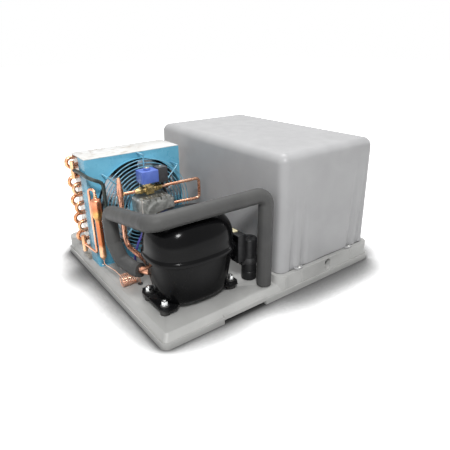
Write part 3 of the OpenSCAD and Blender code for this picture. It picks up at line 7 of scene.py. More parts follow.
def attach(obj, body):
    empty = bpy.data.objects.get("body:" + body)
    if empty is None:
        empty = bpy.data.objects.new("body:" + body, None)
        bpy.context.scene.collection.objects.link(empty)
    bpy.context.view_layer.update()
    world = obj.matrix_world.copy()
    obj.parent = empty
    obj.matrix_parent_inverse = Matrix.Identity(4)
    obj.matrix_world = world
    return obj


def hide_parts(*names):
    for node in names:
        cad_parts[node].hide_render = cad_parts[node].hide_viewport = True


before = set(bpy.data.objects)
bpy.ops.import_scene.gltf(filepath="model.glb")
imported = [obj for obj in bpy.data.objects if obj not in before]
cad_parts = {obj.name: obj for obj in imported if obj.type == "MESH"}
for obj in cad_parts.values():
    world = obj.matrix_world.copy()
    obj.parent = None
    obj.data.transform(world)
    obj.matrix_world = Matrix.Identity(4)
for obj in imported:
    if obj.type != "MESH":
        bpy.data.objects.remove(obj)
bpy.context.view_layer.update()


# The photographer's stand: a normal lens, a little left of and above the unit,
# turned to the right and tipped down at it.
frame_x, frame_y = 317, 280  # the frame's origin, from the base's front left corner


def at(x, y, z):
    """A point given in millimetres from the front left corner of the base."""
    return Vector(((x - frame_x) / 1000, (y - frame_y) / 1000, z / 1000))


turn, tip, lean = radians(36.587), radians(23.269), radians(-0.705)
ahead = Vector((sin(turn) * cos(tip), cos(turn) * cos(tip), -sin(tip)))
level = Vector((cos(turn), -sin(turn), 0))
upright = level.cross(ahead)
side = level * cos(lean) + upright * sin(lean)
above = upright * cos(lean) - level * sin(lean)
eye = at(-284.6, -585.0, 540.8)
lens = bpy.data.cameras.new("stand")
lens.sensor_width, lens.lens, lens.clip_start, lens.clip_end = 36, 33.297, 0.05, 60
stand = bpy.data.objects.new("stand", lens)
bpy.context.collection.objects.link(stand)
stand.matrix_world = Matrix((
    (side.x, above.x, -ahead.x, eye.x),
    (side.y, above.y, -ahead.y, eye.y),
    (side.z, above.z, -ahead.z, eye.z),
    (0, 0, 0, 1)))
bpy.context.scene.camera = stand
bpy.context.scene.view_settings.view_transform = "Standard"


# Base tray: one grey moulding with a rolled flange, a flat deck and a raised
# plinth for the cold side; satin plastic with a faint grain and light scuffs.
def tone(red, green, blue):
    """A colour as the eye reads it, 0 to 255, turned into the shader's own value."""
    return tuple(c / 255 / 12.92 if c <= 10 else ((c / 255 + 0.055) / 1.055) ** 2.4
                 for c in (red, green, blue)) + (1.0,)


def wire(tree, out, into):
    """Joins a node's output to another node's input."""
    tree.links.new(out, into)


def blank_material(name):
    """A new material with its shader, and the object's own coordinates in metres."""
    made = bpy.data.materials.new(name)
    made.use_nodes = True
    tree = made.node_tree
    shader = tree.nodes["Principled BSDF"]
    place = tree.nodes.new("ShaderNodeTexCoord").outputs["Object"]
    return made, tree, shader, place


def scaled(tree, place, size, stretch=(1, 1, 1)):
    """Coordinates in which this many millimetres count as one."""
    lay = tree.nodes.new("ShaderNodeMapping")
    lay.inputs["Scale"].default_value = [1000.0 / size * s for s in stretch]
    wire(tree, place, lay.inputs["Vector"])
    return lay.outputs["Vector"]


def cloud(tree, place, size, detail=3.0, stretch=(1, 1, 1), twist=0.0):
    """Soft uneven spots about this many millimetres across."""
    spots = tree.nodes.new("ShaderNodeTexNoise")
    spots.inputs["Scale"].default_value = 1.0
    spots.inputs["Detail"].default_value = detail
    spots.inputs["Distortion"].default_value = twist
    wire(tree, scaled(tree, place, size, stretch), spots.inputs["Vector"])
    return spots.outputs["Fac"]


def shades(tree, value, *stops):
    """Spreads a value over several colours, each with its place from 0 to 1."""
    ramp = tree.nodes.new("ShaderNodeValToRGB")
    line = ramp.color_ramp.elements
    line[0].position, line[0].color = stops[0]
    line[1].position, line[1].color = stops[-1]
    for where, colour in stops[1:-1]:
        line.new(where).color = colour
    wire(tree, value, ramp.inputs["Fac"])
    return ramp.outputs["Color"]


def spread(tree, value, low, high, start=0.3, end=0.7):
    """Brings a value from its own spread to another one."""
    span = tree.nodes.new("ShaderNodeMapRange")
    for key, number in (("From Min", start), ("From Max", end), ("To Min", low), ("To Max", high)):
        span.inputs[key].default_value = number
    wire(tree, value, span.inputs["Value"])
    return span.outputs["Result"]


def sheen(tree, place, size, gloss, detail=3.0, stretch=(1, 1, 1)):
    """A roughness that wanders between two values over this many millimetres."""
    return spread(tree, cloud(tree, place, size, detail, stretch), *gloss)


def relief(tree, shader, height, depth, strength=1.0):
    """Raises the surface by this many millimetres where the value is high, over what is there."""
    lift = tree.nodes.new("ShaderNodeBump")
    lift.inputs["Strength"].default_value = strength
    lift.inputs["Distance"].default_value = depth / 1000
    wire(tree, height, lift.inputs["Height"])
    if shader.inputs["Normal"].is_linked:
        wire(tree, shader.inputs["Normal"].links[0].from_socket, lift.inputs["Normal"])
    wire(tree, lift.outputs["Normal"], shader.inputs["Normal"])


def laid_over(tree, under, colour, mask):
    """Another colour laid over the first where the mask is high."""
    mix = tree.nodes.new("ShaderNodeMix")
    mix.data_type = "RGBA"
    wire(tree, mask, mix.inputs[0])
    wire(tree, under, mix.inputs[6])
    mix.inputs[7].default_value = colour
    return mix.outputs[2]


def surface(tree, shader, colour, roughness, metal=0.0, shine=0.5):
    """Gives the shader its colour and roughness, how metallic it is and how much it mirrors."""
    wire(tree, colour, shader.inputs["Base Color"])
    wire(tree, roughness, shader.inputs["Roughness"])
    shader.inputs["Metallic"].default_value = metal
    shader.inputs["Specular IOR Level"].default_value = shine


def moulding(name, light, dark, gloss, grain=0.9, depth=0.02, patch=70, scuffs=None, shine=0.4):
    """Injection moulded plastic: slow drifts of shade, a fine spark grain, and rubbed spots."""
    made, tree, shader, place = blank_material(name)
    drift = cloud(tree, place, patch, 4.0, twist=0.6)
    colour = shades(tree, drift, (0.3, dark), (0.7, light))
    if scuffs:
        marks = cloud(tree, place, 9, 6.0, (1, 1, 0.35), 1.5)
        colour = laid_over(tree, colour, scuffs, spread(tree, marks, 0.0, 0.55, 0.66, 0.78))
    surface(tree, shader, colour, sheen(tree, place, patch * 0.3, gloss), shine=shine)
    relief(tree, shader, cloud(tree, place, grain, 2.0), depth, 0.6)
    return made


def even_shading():
    """Shades a piece's round places smooth and its corners sharp."""
    group = bpy.data.node_groups.new("even shading", "GeometryNodeTree")
    for way in ("INPUT", "OUTPUT"):
        group.interface.new_socket("Geometry", in_out=way, socket_type="NodeSocketGeometry")
    start, end = group.nodes.new("NodeGroupInput"), group.nodes.new("NodeGroupOutput")
    faces, edges = (group.nodes.new("GeometryNodeSetShadeSmooth") for _ in range(2))
    faces.domain, edges.domain = "FACE", "EDGE"
    angle = group.nodes.new("GeometryNodeInputMeshEdgeAngle")
    flat = group.nodes.new("FunctionNodeCompare")
    flat.data_type, flat.operation = "FLOAT", "LESS_THAN"
    flat.inputs["B"].default_value = radians(33)
    wire(group, start.outputs[0], faces.inputs["Geometry"])
    wire(group, faces.outputs[0], edges.inputs["Geometry"])
    wire(group, angle.outputs["Unsigned Angle"], flat.inputs["A"])
    wire(group, flat.outputs["Result"], edges.inputs["Shade Smooth"])
    wire(group, edges.outputs[0], end.inputs[0])
    return group


smooth_group = even_shading()


def soften(piece, edge, steps, corners="MITER_ARC"):
    """Welds a solid's faces, rounds its edges by this many millimetres and shades it evenly."""
    piece.modifiers.new("weld", "WELD").merge_threshold = 2e-6
    if edge:
        bevel = piece.modifiers.new("soft edges", "BEVEL")
        bevel.width, bevel.segments = edge / 1000, steps
        bevel.limit_method, bevel.angle_limit = "ANGLE", radians(40)
        bevel.miter_outer = corners
    piece.modifiers.new("even shading", "NODES").node_group = smooth_group


def dress(node, material, edge=0.0, steps=2):
    """Gives a CAD solid its finish and the small radius that its edges really have."""
    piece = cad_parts[node]
    for place in piece.material_slots:
        place.material = material
    if not piece.material_slots:
        piece.data.materials.append(material)
    soften(piece, edge, steps)


grey_plastic = moulding("moulded grey plastic", tone(160, 160, 161), tone(152, 152, 153),
                        (0.36, 0.47), 0.8, 0.012, 90)
grey_tray = moulding("moulded grey tray", tone(168, 168, 166), tone(158, 158, 156),
                     (0.4, 0.56), 0.8, 0.015, 80, scuffs=tone(150, 149, 145))
dress("base_tray", grey_tray, 0.7)


# Foam core under the deck: beads of white foam blown into the tray before the
# bottom sheet closes it, so it takes the tray's shape a little rounded.
def build(name, points, faces, material, slot, stands_for=(), sharp=38, body="frame"):
    """A finished mesh piece that rides on its body."""
    mesh = bpy.data.meshes.new(name)
    mesh.from_pydata([tuple(p) for p in points], [], faces)
    mesh.materials.append(material)
    mesh.shade_smooth()
    mesh.set_sharp_from_angle(angle=radians(sharp))
    mesh.update()
    piece = bpy.data.objects.new(name, mesh)
    bpy.context.collection.objects.link(piece)
    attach(piece, body)
    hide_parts(*stands_for)
    return piece


def cells(tree, place, size, stretch=(1, 1, 1)):
    """Grains about this many millimetres across: their middle distance and their own colour."""
    grains = tree.nodes.new("ShaderNodeTexVoronoi")
    grains.inputs["Scale"].default_value = 1.0
    wire(tree, scaled(tree, place, size, stretch), grains.inputs["Vector"])
    return grains


def reckon(tree, operation, *values):
    """The result of some arithmetic on numbers and other nodes' outputs."""
    step = tree.nodes.new("ShaderNodeMath")
    step.operation = operation
    for socket, value in zip(step.inputs, values):
        if isinstance(value, float):
            socket.default_value = value
        else:
            wire(tree, value, socket)
    return step.outputs["Value"]


def foamed(name, light, dark, bead, depth):
    """Expanded foam: packed beads with fine dark joints."""
    made, tree, shader, place = blank_material(name)
    from_middle = cells(tree, place, bead).outputs["Distance"]
    surface(tree, shader, shades(tree, from_middle, (0.25, light), (0.75, dark)),
            sheen(tree, place, 12, (0.72, 0.9)))
    relief(tree, shader, reckon(tree, "SUBTRACT", 1.0, from_middle), depth)
    return made


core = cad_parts["base_foam"].data
bead_foam = foamed("bead foam", tone(240, 236, 220), tone(205, 200, 180), 4.5, 0.35)
soften(build("foam_core", [v.co.copy() for v in core.vertices],
             [tuple(p.vertices) for p in core.polygons], bead_foam, "foam", ("base_foam",)),
       1.2, 3, "MITER_SHARP")


# Bottom sheet: galvanised steel pressed up into the tray's rim, with the large
# pale crystals that the zinc bath leaves.
def zinc_sheet(name, light, dark, grain=11):
    """Hot dipped steel: grey crystals that each catch the light in their own way."""
    made, tree, shader, place = blank_material(name)
    split = tree.nodes.new("ShaderNodeSeparateColor")
    wire(tree, cells(tree, place, grain).outputs["Color"], split.inputs["Color"])
    surface(tree, shader, shades(tree, split.outputs["Red"], (0.0, dark), (1.0, light)),
            spread(tree, split.outputs["Green"], 0.28, 0.5, 0.0, 1.0), 0.85)
    relief(tree, shader, split.outputs["Blue"], 0.03, 0.4)
    return made


zinc = zinc_sheet("galvanised sheet", tone(206, 210, 214), tone(168, 173, 178))
dress("bottom_pan", zinc, 0.3)


# Cover seal: a flat ring of soft grey cell foam, cut to the cover's rim and
# squeezed a little between it and the plinth.
cover_left, cover_right, cover_front, cover_back = 314, 630.5, 13.5, 546.5
cover_x, cover_y = (cover_left + cover_right) / 2, (cover_front + cover_back) / 2
cover_round = 22  # the radius of its corners and of its top edge


def cover_outline(inset, radius, along, turns=12):
    """The cover's plan, drawn in by the inset, with points along its straight sides too."""
    x0, y0 = cover_left + inset + radius, cover_front + inset + radius
    x1, y1 = cover_right - inset - radius, cover_back - inset - radius
    ring = []
    for cx, cy, first, dx, dy in ((x1, y0, -90, 0, y1 - y0), (x1, y1, 0, x0 - x1, 0),
                                  (x0, y1, 90, 0, y0 - y1), (x0, y0, 180, x1 - x0, 0)):
        for i in range(turns + 1):
            a = radians(first + 90 * i / turns)
            ring.append((cx + radius * cos(a), cy + radius * sin(a)))
        ex, ey = ring[-1]
        ring += [(ex + dx * i / along, ey + dy * i / along) for i in range(1, along)]
    return ring


def skin(rings, closed=False):
    """Joins rings of as many points each, one after the other, and the last to the first."""
    n = len(rings[0])
    points = [p for ring in rings for p in ring]
    faces = []
    for i in range(len(rings) if closed else len(rings) - 1):
        a, b = i * n, (i + 1) % len(rings) * n
        faces += [(a + j, a + (j + 1) % n, b + (j + 1) % n, b + j) for j in range(n)]
    return points, faces


seal_foam = foamed("grey cell foam", tone(112, 112, 111), tone(84, 84, 84), 0.9, 0.08)
seal_profile = ((0.5, 51.0), (3.2, 51.0), (3.7, 51.5), (3.4, 52.4), (0.6, 52.4), (0.0, 51.8))
seal_rings = [[at(x, y, z) for x, y in cover_outline(inset, cover_round - inset, 20)]
              for inset, z in seal_profile]
build("cover_seal", *skin(seal_rings, closed=True), seal_foam, "seal_foam", ("plinth_seal",))


# Cold chamber: a pale smooth liner under the cover, the evaporator's drip tray,
# and the drain bend that leads the melt water to the recess in the front.
liner_skin = moulding("liner skin", tone(232, 235, 236), tone(222, 226, 228),
                      (0.3, 0.42), 1.4, 0.01, 120)
drip_plastic = moulding("drip tray plastic", tone(226, 228, 226), tone(214, 217, 215), (0.35, 0.5))
black_plastic = moulding("black plastic", tone(48, 48, 49), tone(38, 38, 39),
                         (0.34, 0.5), 0.7, patch=30)
dress("chamber_liner", liner_skin, 1.0)
dress("drip_tray", drip_plastic, 0.6)
dress("drain_spout", black_plastic, 0.5)


# Grommets and gland: soft black rubber bushes where the lines pass the deck,
# and the ribbed gland where the supply lead comes in.
def rubber(name, light, dark):
    """Moulded rubber: dull, with a bloom of dust."""
    made, tree, shader, place = blank_material(name)
    surface(tree, shader, shades(tree, cloud(tree, place, 14, 5.0), (0.35, dark), (0.68, light)),
            sheen(tree, place, 5, (0.55, 0.78)))
    relief(tree, shader, cloud(tree, place, 0.8), 0.03, 0.7)
    return made


black_rubber = rubber("black rubber", tone(56, 55, 54), tone(36, 36, 36))
dress("tube_grommets", black_rubber, 0.35)
dress("cable_gland", black_plastic, 0.4)


# Evaporator: thin rippled aluminium fins pressed on copper hairpins, held
# between two galvanised end plates; bends and headers are brazed on.
def sheet_metal(name, light, dark, gloss, brushed, size):
    """Rolled bare metal: soft streaks and faint handling marks."""
    made, tree, shader, place = blank_material(name)
    streaks = cloud(tree, place, size, 5.0, brushed)
    surface(tree, shader, shades(tree, streaks, (0.32, dark), (0.7, light)),
            sheen(tree, place, size * 0.4, gloss, stretch=brushed), 1.0)
    relief(tree, shader, cloud(tree, place, size * 0.12, 2.0, brushed), 0.02, 0.35)
    return made


def copper_tube(name, light, mid, dark, gloss, size):
    """Drawn copper: bright where it is clean, browner where the torch passed."""
    made, tree, shader, place = blank_material(name)
    heat = cloud(tree, place, size, twist=0.4)
    surface(tree, shader, shades(tree, heat, (0.26, dark), (0.42, mid), (0.62, light)),
            sheen(tree, place, 9, gloss), 0.9)
    relief(tree, shader, cloud(tree, place, 3.0, 2.0), 0.01, 0.2)
    return made


def fin_stack(name, x0, x1, y0, y1, z0, z1, pitch, wave, stands_for):
    """Every fin as its own thin sheet, rippled across the air's way."""
    points, faces, folds, thick = [], [], 14, 0.16
    room = x1 - x0 - 2 * wave
    count = int(room / pitch)
    for k in range(count + 1):
        middle = x0 + wave + room * k / count
        for back in (-thick / 2, thick / 2):
            for i in range(folds + 1):
                x = middle + back + wave * (0.5 if i % 2 else -0.5)
                points += [at(x, y0 + (y1 - y0) * i / folds, z) for z in (z0, z1)]
        a, b = len(points) - 4 * (folds + 1), len(points) - 2 * (folds + 1)
        for p, q in ((a + 2 * i, b + 2 * i) for i in range(folds)):
            faces += [(p, p + 1, p + 3, p + 2), (q, q + 2, q + 3, q + 1),
                      (p, p + 2, q + 2, q), (p + 1, q + 1, q + 3, p + 3)]
        c, d = a + 2 * folds, b + 2 * folds
        faces += [(a, b, b + 1, a + 1), (c, c + 1, d + 1, d)]
    build(name, points, faces, fin_metal, "fin_aluminium", (stands_for,), 20)


fin_metal = sheet_metal("fin aluminium", tone(214, 216, 218), tone(188, 190, 192),
                        (0.32, 0.45), (1, 1, 0.2), 30)
plate_zinc = zinc_sheet("end plate zinc", tone(186, 184, 178), tone(150, 147, 142), 8)
copper = copper_tube("drawn copper", tone(232, 184, 158), tone(218, 160, 130),
                     tone(178, 118, 90), (0.2, 0.32), 60)
fin_stack("evaporator_fin_stack", 387.2, 557.3, 178.2, 237.8, 67.2, 275.0, 3.9, 1.3,
          "evaporator_fins")
dress("evaporator_end_plates", plate_zinc, 0.25)
dress("evaporator_tubes", copper)
dress("evaporator_bends", copper)


# Evaporator fan: a galvanised plate across the chamber, a wire guard on it, a
# small cast motor hung from the guard and pressed aluminium blades.
def coated_wire(name, light, dark):
    """Thin plastic powder melted on wire: smooth, with small runs."""
    made, tree, shader, place = blank_material(name)
    surface(tree, shader, shades(tree, cloud(tree, place, 18), (0.35, dark), (0.65, light)),
            sheen(tree, place, 4, (0.3, 0.42)))
    shader.inputs["Coat Weight"].default_value = 0.35
    shader.inputs["Coat Roughness"].default_value = 0.2
    relief(tree, shader, cloud(tree, place, 1.5, 2.0), 0.03, 0.5)
    return made


def casting(name, light, dark, gloss):
    """Die cast metal: a sandy skin, and a dark grey painted over what faces upward as shade."""
    made, tree, shader, place = blank_material(name)
    facing = tree.nodes.new("ShaderNodeSeparateXYZ")
    wire(tree, tree.nodes.new("ShaderNodeTexCoord").outputs["Normal"], facing.inputs["Vector"])
    # Faces that point upward are laid over with a dark grey: painted shade for a darker top.
    painted_top_shade = spread(tree, facing.outputs["Z"], 0.0, 0.55, 0.75, 0.95)
    sand = shades(tree, cloud(tree, place, 16, 6.0, twist=0.8), (0.3, dark), (0.66, light))
    surface(tree, shader, laid_over(tree, sand, tone(84, 84, 80), painted_top_shade),
            sheen(tree, place, 2.5, gloss, 4.0), 0.85)
    relief(tree, shader, cloud(tree, place, 1.1), 0.09, 0.7)
    return made


cast_metal = casting("cast aluminium", tone(206, 207, 203), tone(142, 143, 139), (0.36, 0.55))
dark_guard = coated_wire("black wire coat", tone(58, 59, 60), tone(40, 41, 42))
ground_steel = sheet_metal("ground steel", tone(190, 192, 196), tone(150, 152, 156),
                           (0.2, 0.34), (1, 0.15, 1), 6)
blade_metal = sheet_metal("blade aluminium", tone(222, 225, 228), tone(196, 199, 204),
                          (0.24, 0.38), (1, 1, 1), 34)
dress("evaporator_fan_plate", zinc, 0.25)
dress("evaporator_fan_guard", dark_guard)
dress("evaporator_fan_motor", cast_metal, 0.6)
dress("evaporator_fan_shaft", ground_steel, 0.3)
dress("evaporator_fan_blades", blade_metal, 0.25)


# Evaporator cover: a tall shell in the tray's grey plastic, moulded with drawn
# sides, big soft edges and shallow flutes down its front; tabs take its screws.
cover_rim, cover_turn, cover_top = 52.5, 309, 330.9  # where it begins, rounds over and ends
panel_deep, panel_round = 2.4, 620  # the wide shallow panel, an arc in plan
flute_half = sqrt(46 ** 2 - (46 - panel_deep) ** 2)  # half as wide as a flute


def across_cover(share):
    """How far right a part of the cover's width reaches."""
    return cover_left + share * (cover_right - cover_left)


def flute_line(x, y, z):
    """How far back the front stands where a flute or the panel is moulded in."""
    cuts = []
    for share in (0.14, 0.25, 0.80, 0.91):
        rest = max(1 - ((x - across_cover(share)) / flute_half) ** 2, 0)
        if rest:
            deep = 5.0 - 2.8 * (z - cover_rim) / 256  # shallower toward the top
            cuts.append(cover_front + deep * rest ** 1.5)
    off = x - across_cover(0.53)
    if abs(off) < panel_round:
        cuts.append(cover_front + panel_deep - panel_round
                    + sqrt(panel_round * panel_round - off * off))
    deepest = y
    for cut in cuts:
        blend = max(0.5 - abs(cut - deepest), 0) / 0.5
        deepest = max(cut, deepest) + blend * blend * 0.12
    return deepest


def cover_ring(inset, z, fluted):
    """One level of the cover: the sides lean in by 3 mm up to where the top edge turns."""
    lean_in = 3 * min(max((z - 53.5) / 255.5, 0), 1)
    radius = cover_round - inset
    if z > cover_turn:
        radius = sqrt(max(radius ** 2 - (z - cover_turn) ** 2, 0.02))
    draw = lean_in + cover_round - radius
    ring = []
    for x, y in cover_outline(draw, radius, 120, 14):
        if fluted and z < cover_turn and y < cover_front + draw + 0.01:
            y = flute_line(x, y, z)
        ring.append(at(x, y, z))
    return ring


def capped(rings):
    """Rings joined one after the other and closed at both ends."""
    points, faces = skin(rings)
    n = len(rings[0])
    faces.append(tuple(range(n))[::-1])
    faces.append(tuple(range(len(points) - n, len(points))))
    return points, faces


def turned(x, y, profile, sides=24):
    """Rings round an upright axis, from (radius, height) pairs."""
    angles = [radians(360 / sides * k) for k in range(sides)]
    return [[at(x + r * cos(a), y + r * sin(a), z) for a in angles] for r, z in profile]


levels = [cover_rim, 54] + [54 + 255 * i / 26 for i in range(1, 27)]
levels += [cover_turn + cover_round * sin(radians(a))
           for a in (6, 13, 20, 27, 34, 41, 48, 55, 62, 69, 76, 82, 87)]
cover_rings = [cover_ring(4, z, False) for z in (326, 322, 316, cover_turn, 240, 120, cover_rim)]
cover_rings += [cover_ring(0, z, True) for z in levels]
top_middle, top_ring = at(cover_x, cover_y, cover_top), cover_ring(0, 330.97, True)
for share, crown in ((0.97, 0), (0.9, 0.1), (0.75, 0.25), (0.5, 0.4), (0.25, 0.5), (0.03, 0.55)):
    cover_rings.append([Vector((top_middle.x + (p.x - top_middle.x) * share,
                                top_middle.y + (p.y - top_middle.y) * share,
                                (cover_top + crown) / 1000)) for p in top_ring])
build("evaporator_cover_shell", *capped(cover_rings), grey_plastic, "moulded_grey",
      ("evaporator_cover",), 50)
tab_plan = ((-12, 0.5), (12, 0.5), (12, -4), (9.5, -8), (6, -9), (-6, -9), (-9.5, -8), (-12, -4))
tab_points, tab_faces = [], []
for share in (0.19, 0.77):
    for y, way in ((cover_front, -1), (cover_back, 1)):
        tab_rings = [[at(across_cover(share) + px * (1 + grow / 12),
                         y - way * py * (1 + grow / 9), z) for px, py in tab_plan[::-way]]
                     for z, grow in ((cover_rim, 0), (55.1, 0), (55.5, -0.4))]
        points, faces = capped(tab_rings)
        tab_faces += [tuple(len(tab_points) + i for i in face) for face in faces]
        tab_points += points
build("cover_tabs", tab_points, tab_faces, grey_plastic, "moulded_grey", (), 40)
gate = turned(cover_x, cover_y,
              ((4.2, 331.2), (3.6, 331.75), (2.2, 331.8), (1.5, 331.45), (0.4, 331.45)))
build("moulding_gate_mark", *capped(gate), grey_plastic, "moulded_grey")


# Cover screws: zinc plated pan heads with a cross recess, one in each tab.
def plated(name, light, dark):
    """Bright zinc plating with a faint yellow and blue cast."""
    made, tree, shader, place = blank_material(name)
    surface(tree, shader, shades(tree, cloud(tree, place, 4, 4.0), (0.32, dark), (0.68, light)),
            sheen(tree, place, 1.5, (0.18, 0.34)), 1.0)
    relief(tree, shader, cloud(tree, place, 0.5, 2.0), 0.02, 0.4)
    return made


bright_zinc = plated("zinc plating", tone(226, 226, 222), tone(186, 187, 186))
dress("cover_screws", bright_zinc, 0.3)


# Condenser: the same kind of coil for the hot side, taller and wider, with its
# open ends to the left and a pale top plate that has been wiped and stained.
def painted(name, light, dark, gloss, coat=0.0, stains=None, stain_size=20, peel=1.8, shine=0.5):
    """Stoved paint on steel: even colour, a slight orange peel, and stains if it has some."""
    made, tree, shader, place = blank_material(name)
    colour = shades(tree, cloud(tree, place, 60), (0.35, dark), (0.65, light))
    if stains:
        marks = cloud(tree, place, stain_size, 7.0, twist=1.8)
        colour = laid_over(tree, colour, stains, spread(tree, marks, 0.0, 0.85, 0.54, 0.72))
    surface(tree, shader, colour, sheen(tree, place, 12, gloss, 4.0), shine=shine)
    shader.inputs["Coat Weight"].default_value = coat
    shader.inputs["Coat Roughness"].default_value = 0.12
    relief(tree, shader, cloud(tree, place, peel, 1.5), 0.02, 0.4)
    return made


bend_copper = copper_tube("brazed copper", tone(232, 180, 142), tone(214, 150, 108),
                          tone(160, 98, 64), (0.2, 0.32), 40)
white_paint = painted("wiped white paint", tone(206, 206, 205), tone(190, 189, 186), (0.3, 0.5),
                      stains=tone(158, 148, 136), stain_size=46)
fin_stack("condenser_fin_stack", 20.7, 262.3, 405.3, 456.7, 34.2, 297.8, 3.2, 1.2,
          "condenser_fins")
dress("condenser_end_plates", plate_zinc, 0.25)
dress("condenser_tubes", copper)
dress("condenser_bends", bend_copper)
dress("condenser_top_plate", white_paint, 0.3)


# Fan shroud: folded steel in sky blue paint, with a rolled collar round the
# fan; its screws, the wire guard in the same blue, and the cast motor.
blue_paint = painted("sky blue paint", tone(100, 168, 194), tone(84, 152, 180), (0.24, 0.36), 0.1)
blue_guard = coated_wire("blue wire coat", tone(120, 176, 196), tone(88, 146, 172))
dress("fan_shroud", blue_paint, 0.4)
dress("shroud_screws", bright_zinc, 0.3)
dress("fan_guard", blue_guard)
dress("fan_motor", cast_metal, 0.8)
dress("fan_shaft", ground_steel, 0.3)
dress("fan_blades", blade_metal, 0.25)


# Motor lead: four thin cores in one violet blue jacket, from the underside of
# the motor down to the deck, led so that it stands clear of the blades.
def fillet(stops, radius, step=7.0):
    """A line through these stops with every corner bent to this radius, in millimetres."""
    stops = [Vector(p) for p in stops]
    line = [stops[0]]
    for a, p, b in zip(stops, stops[1:], stops[2:]):
        u, w = (a - p).normalized(), (b - p).normalized()
        bend = pi - u.angle(w)
        if bend < 0.02:
            line.append(p)
            continue
        room = min((a - p).length, (b - p).length) * 0.49
        reach = min(radius * tan(bend / 2), room)
        arc = reach / tan(bend / 2)
        centre = p + (u + w).normalized() * (arc / cos(bend / 2))
        start, axis = p + u * reach - centre, u.cross(w).normalized()
        count = max(2, ceil(degrees(bend) / step))
        line += [centre + Quaternion(axis, -bend * k / count) @ start for k in range(count + 1)]
    return line + [stops[-1]]


def stretch_out(line, spacing):
    """The same line with points no further apart than this."""
    out = [line[0]]
    for a, b in zip(line, line[1:]):
        count = max(1, ceil((b - a).length / spacing))
        out += [a + (b - a) * k / count for k in range(1, count + 1)]
    return out


def length_of(line):
    return sum((b - a).length for a, b in zip(line, line[1:]))


def round_line(line, radius, sides, shape=None):
    """Rings round a line, carried along it without twist; shape(share, angle) swells them."""
    rings, total, run = [], length_of(line), 0.0
    heading = (line[1] - line[0]).normalized()
    up = heading.orthogonal().normalized()
    for i, p in enumerate(line):
        if i:
            run += (p - line[i - 1]).length
        now = (line[min(i + 1, len(line) - 1)] - line[max(i - 1, 0)]).normalized()
        up = heading.rotation_difference(now) @ up
        up = (up - now * up.dot(now)).normalized()
        heading, across = now, now.cross(up)
        ring = []
        for a in (2 * pi * k / sides for k in range(sides)):
            r = radius * (shape(run / total, a) if shape else 1)
            ring.append(at(*(p + up * (r * cos(a)) + across * (r * sin(a)))))
        rings.append(ring)
    return rings


def pipe(name, line, radius, material, slot, stands_for=(), sides=20, shape=None):
    """A round piece along a line, closed at both ends."""
    build(name, *capped(round_line(line, radius, sides, shape)), material, slot, stands_for, 50)


def jacket(name, light, dark):
    """Soft cable jacket."""
    return moulding(name, light, dark, (0.34, 0.46), 0.6, patch=20)


deck_hole = 30.3  # the height at which leads enter the deck
lead_top = Vector((118.6, 303.8, 125.8))
lead_line = fillet([lead_top, lead_top + Vector((0, 0, -12)), lead_top + Vector((-18, -6, -34)),
                    lead_top + Vector((-34, -14, -62)), (84.6, 289.8, deck_hole)], 12)
violet = jacket("violet blue jacket", tone(92, 88, 184), tone(66, 60, 150))
pipe("motor_lead", lead_line, 3.0, violet, "lead_violet", ("fan_motor_lead",), 18)


# Compressor shell: two deep drawn steel cups welded round their rims and
# stoved in gloss black; the upper one laps over the lower in a raised lip.
shell_x, shell_y, shell_long, shell_deep = 131, 107, 96.5, 77  # its axis and half its size
shell_power = 2 / 2.6  # 1 is an oval, less is fuller
dome_power = 2 / 2.8
steel_wall = 3.2


def fuller(value, power):
    """A sine or cosine bent outward, so that the oval it draws gets fuller."""
    return copysign(abs(value) ** power, value)


def shell_level(size, z, grow=0.0):
    """The shell's outline on one level."""
    return [at(shell_x + (shell_long + grow) * size * fuller(cos(a), shell_power),
               shell_y + (shell_deep + grow) * size * fuller(sin(a), shell_power), z)
            for a in (2 * pi * k / 144 for k in range(144))]


def eased(table, value):
    """Reads a table of (value, result) pairs along a smooth curve that never overshoots."""
    for i, ((v0, r0), (v1, r1)) in enumerate(zip(table, table[1:])):
        if value <= v1:
            w = v1 - v0
            here = (r1 - r0) / w
            before = here if i == 0 else (r0 - table[i - 1][1]) / (v0 - table[i - 1][0])
            after = here if i + 2 >= len(table) else (table[i + 2][1] - r1) / (table[i + 2][0] - v1)
            m0 = 0 if before * here <= 0 else 2 * before * here / (before + here)
            m1 = 0 if after * here <= 0 else 2 * after * here / (after + here)
            t = (value - v0) / w
            return ((2 * t ** 3 - 3 * t * t + 1) * r0 + (t ** 3 - 2 * t * t + t) * w * m0
                    + (3 * t * t - 2 * t ** 3) * r1 + (t ** 3 - t * t) * w * m1)
    return table[-1][1]


gloss_black = painted("gloss black stove paint", tone(13, 13, 14), tone(9, 9, 10), (0.13, 0.18),
                      peel=9, shine=0.09)
cup_foot, cup_high = 49.2, 103.6
taper = ((0.0, 0.79), (0.03, 0.825), (0.09, 0.85), (0.2, 0.872), (0.55, 0.93), (1.0, 1.0))
cup = [shell_level(0.74, 49.0), shell_level(0.775, 49.05)]
cup += [shell_level(eased(taper, i / 30), cup_foot + cup_high * i / 30) for i in range(31)]
cup += [shell_level(size, z, -steel_wall) for size, z in ((1, 152.8), (0.93, 106), (0.8, 53))]
build("compressor_lower_cup", *capped(cup), gloss_black, "shell_black",
      ("compressor_lower_shell",))
relay_y, relay_z = 92.5, 122  # the middle of the shell's pins
fence = [[at(x, relay_y + (23.5 - inset) * fuller(cos(a), 0.35),
             relay_z + (22 - inset) * fuller(sin(a), 0.35))
          for a in (radians(6 * k) for k in range(60))]
         for x, inset in ((196, 0), (228.6, 0), (229.7, 0.4), (230.1, 1.4))]
build("compressor_terminal_fence", *capped(fence), gloss_black, "shell_black")
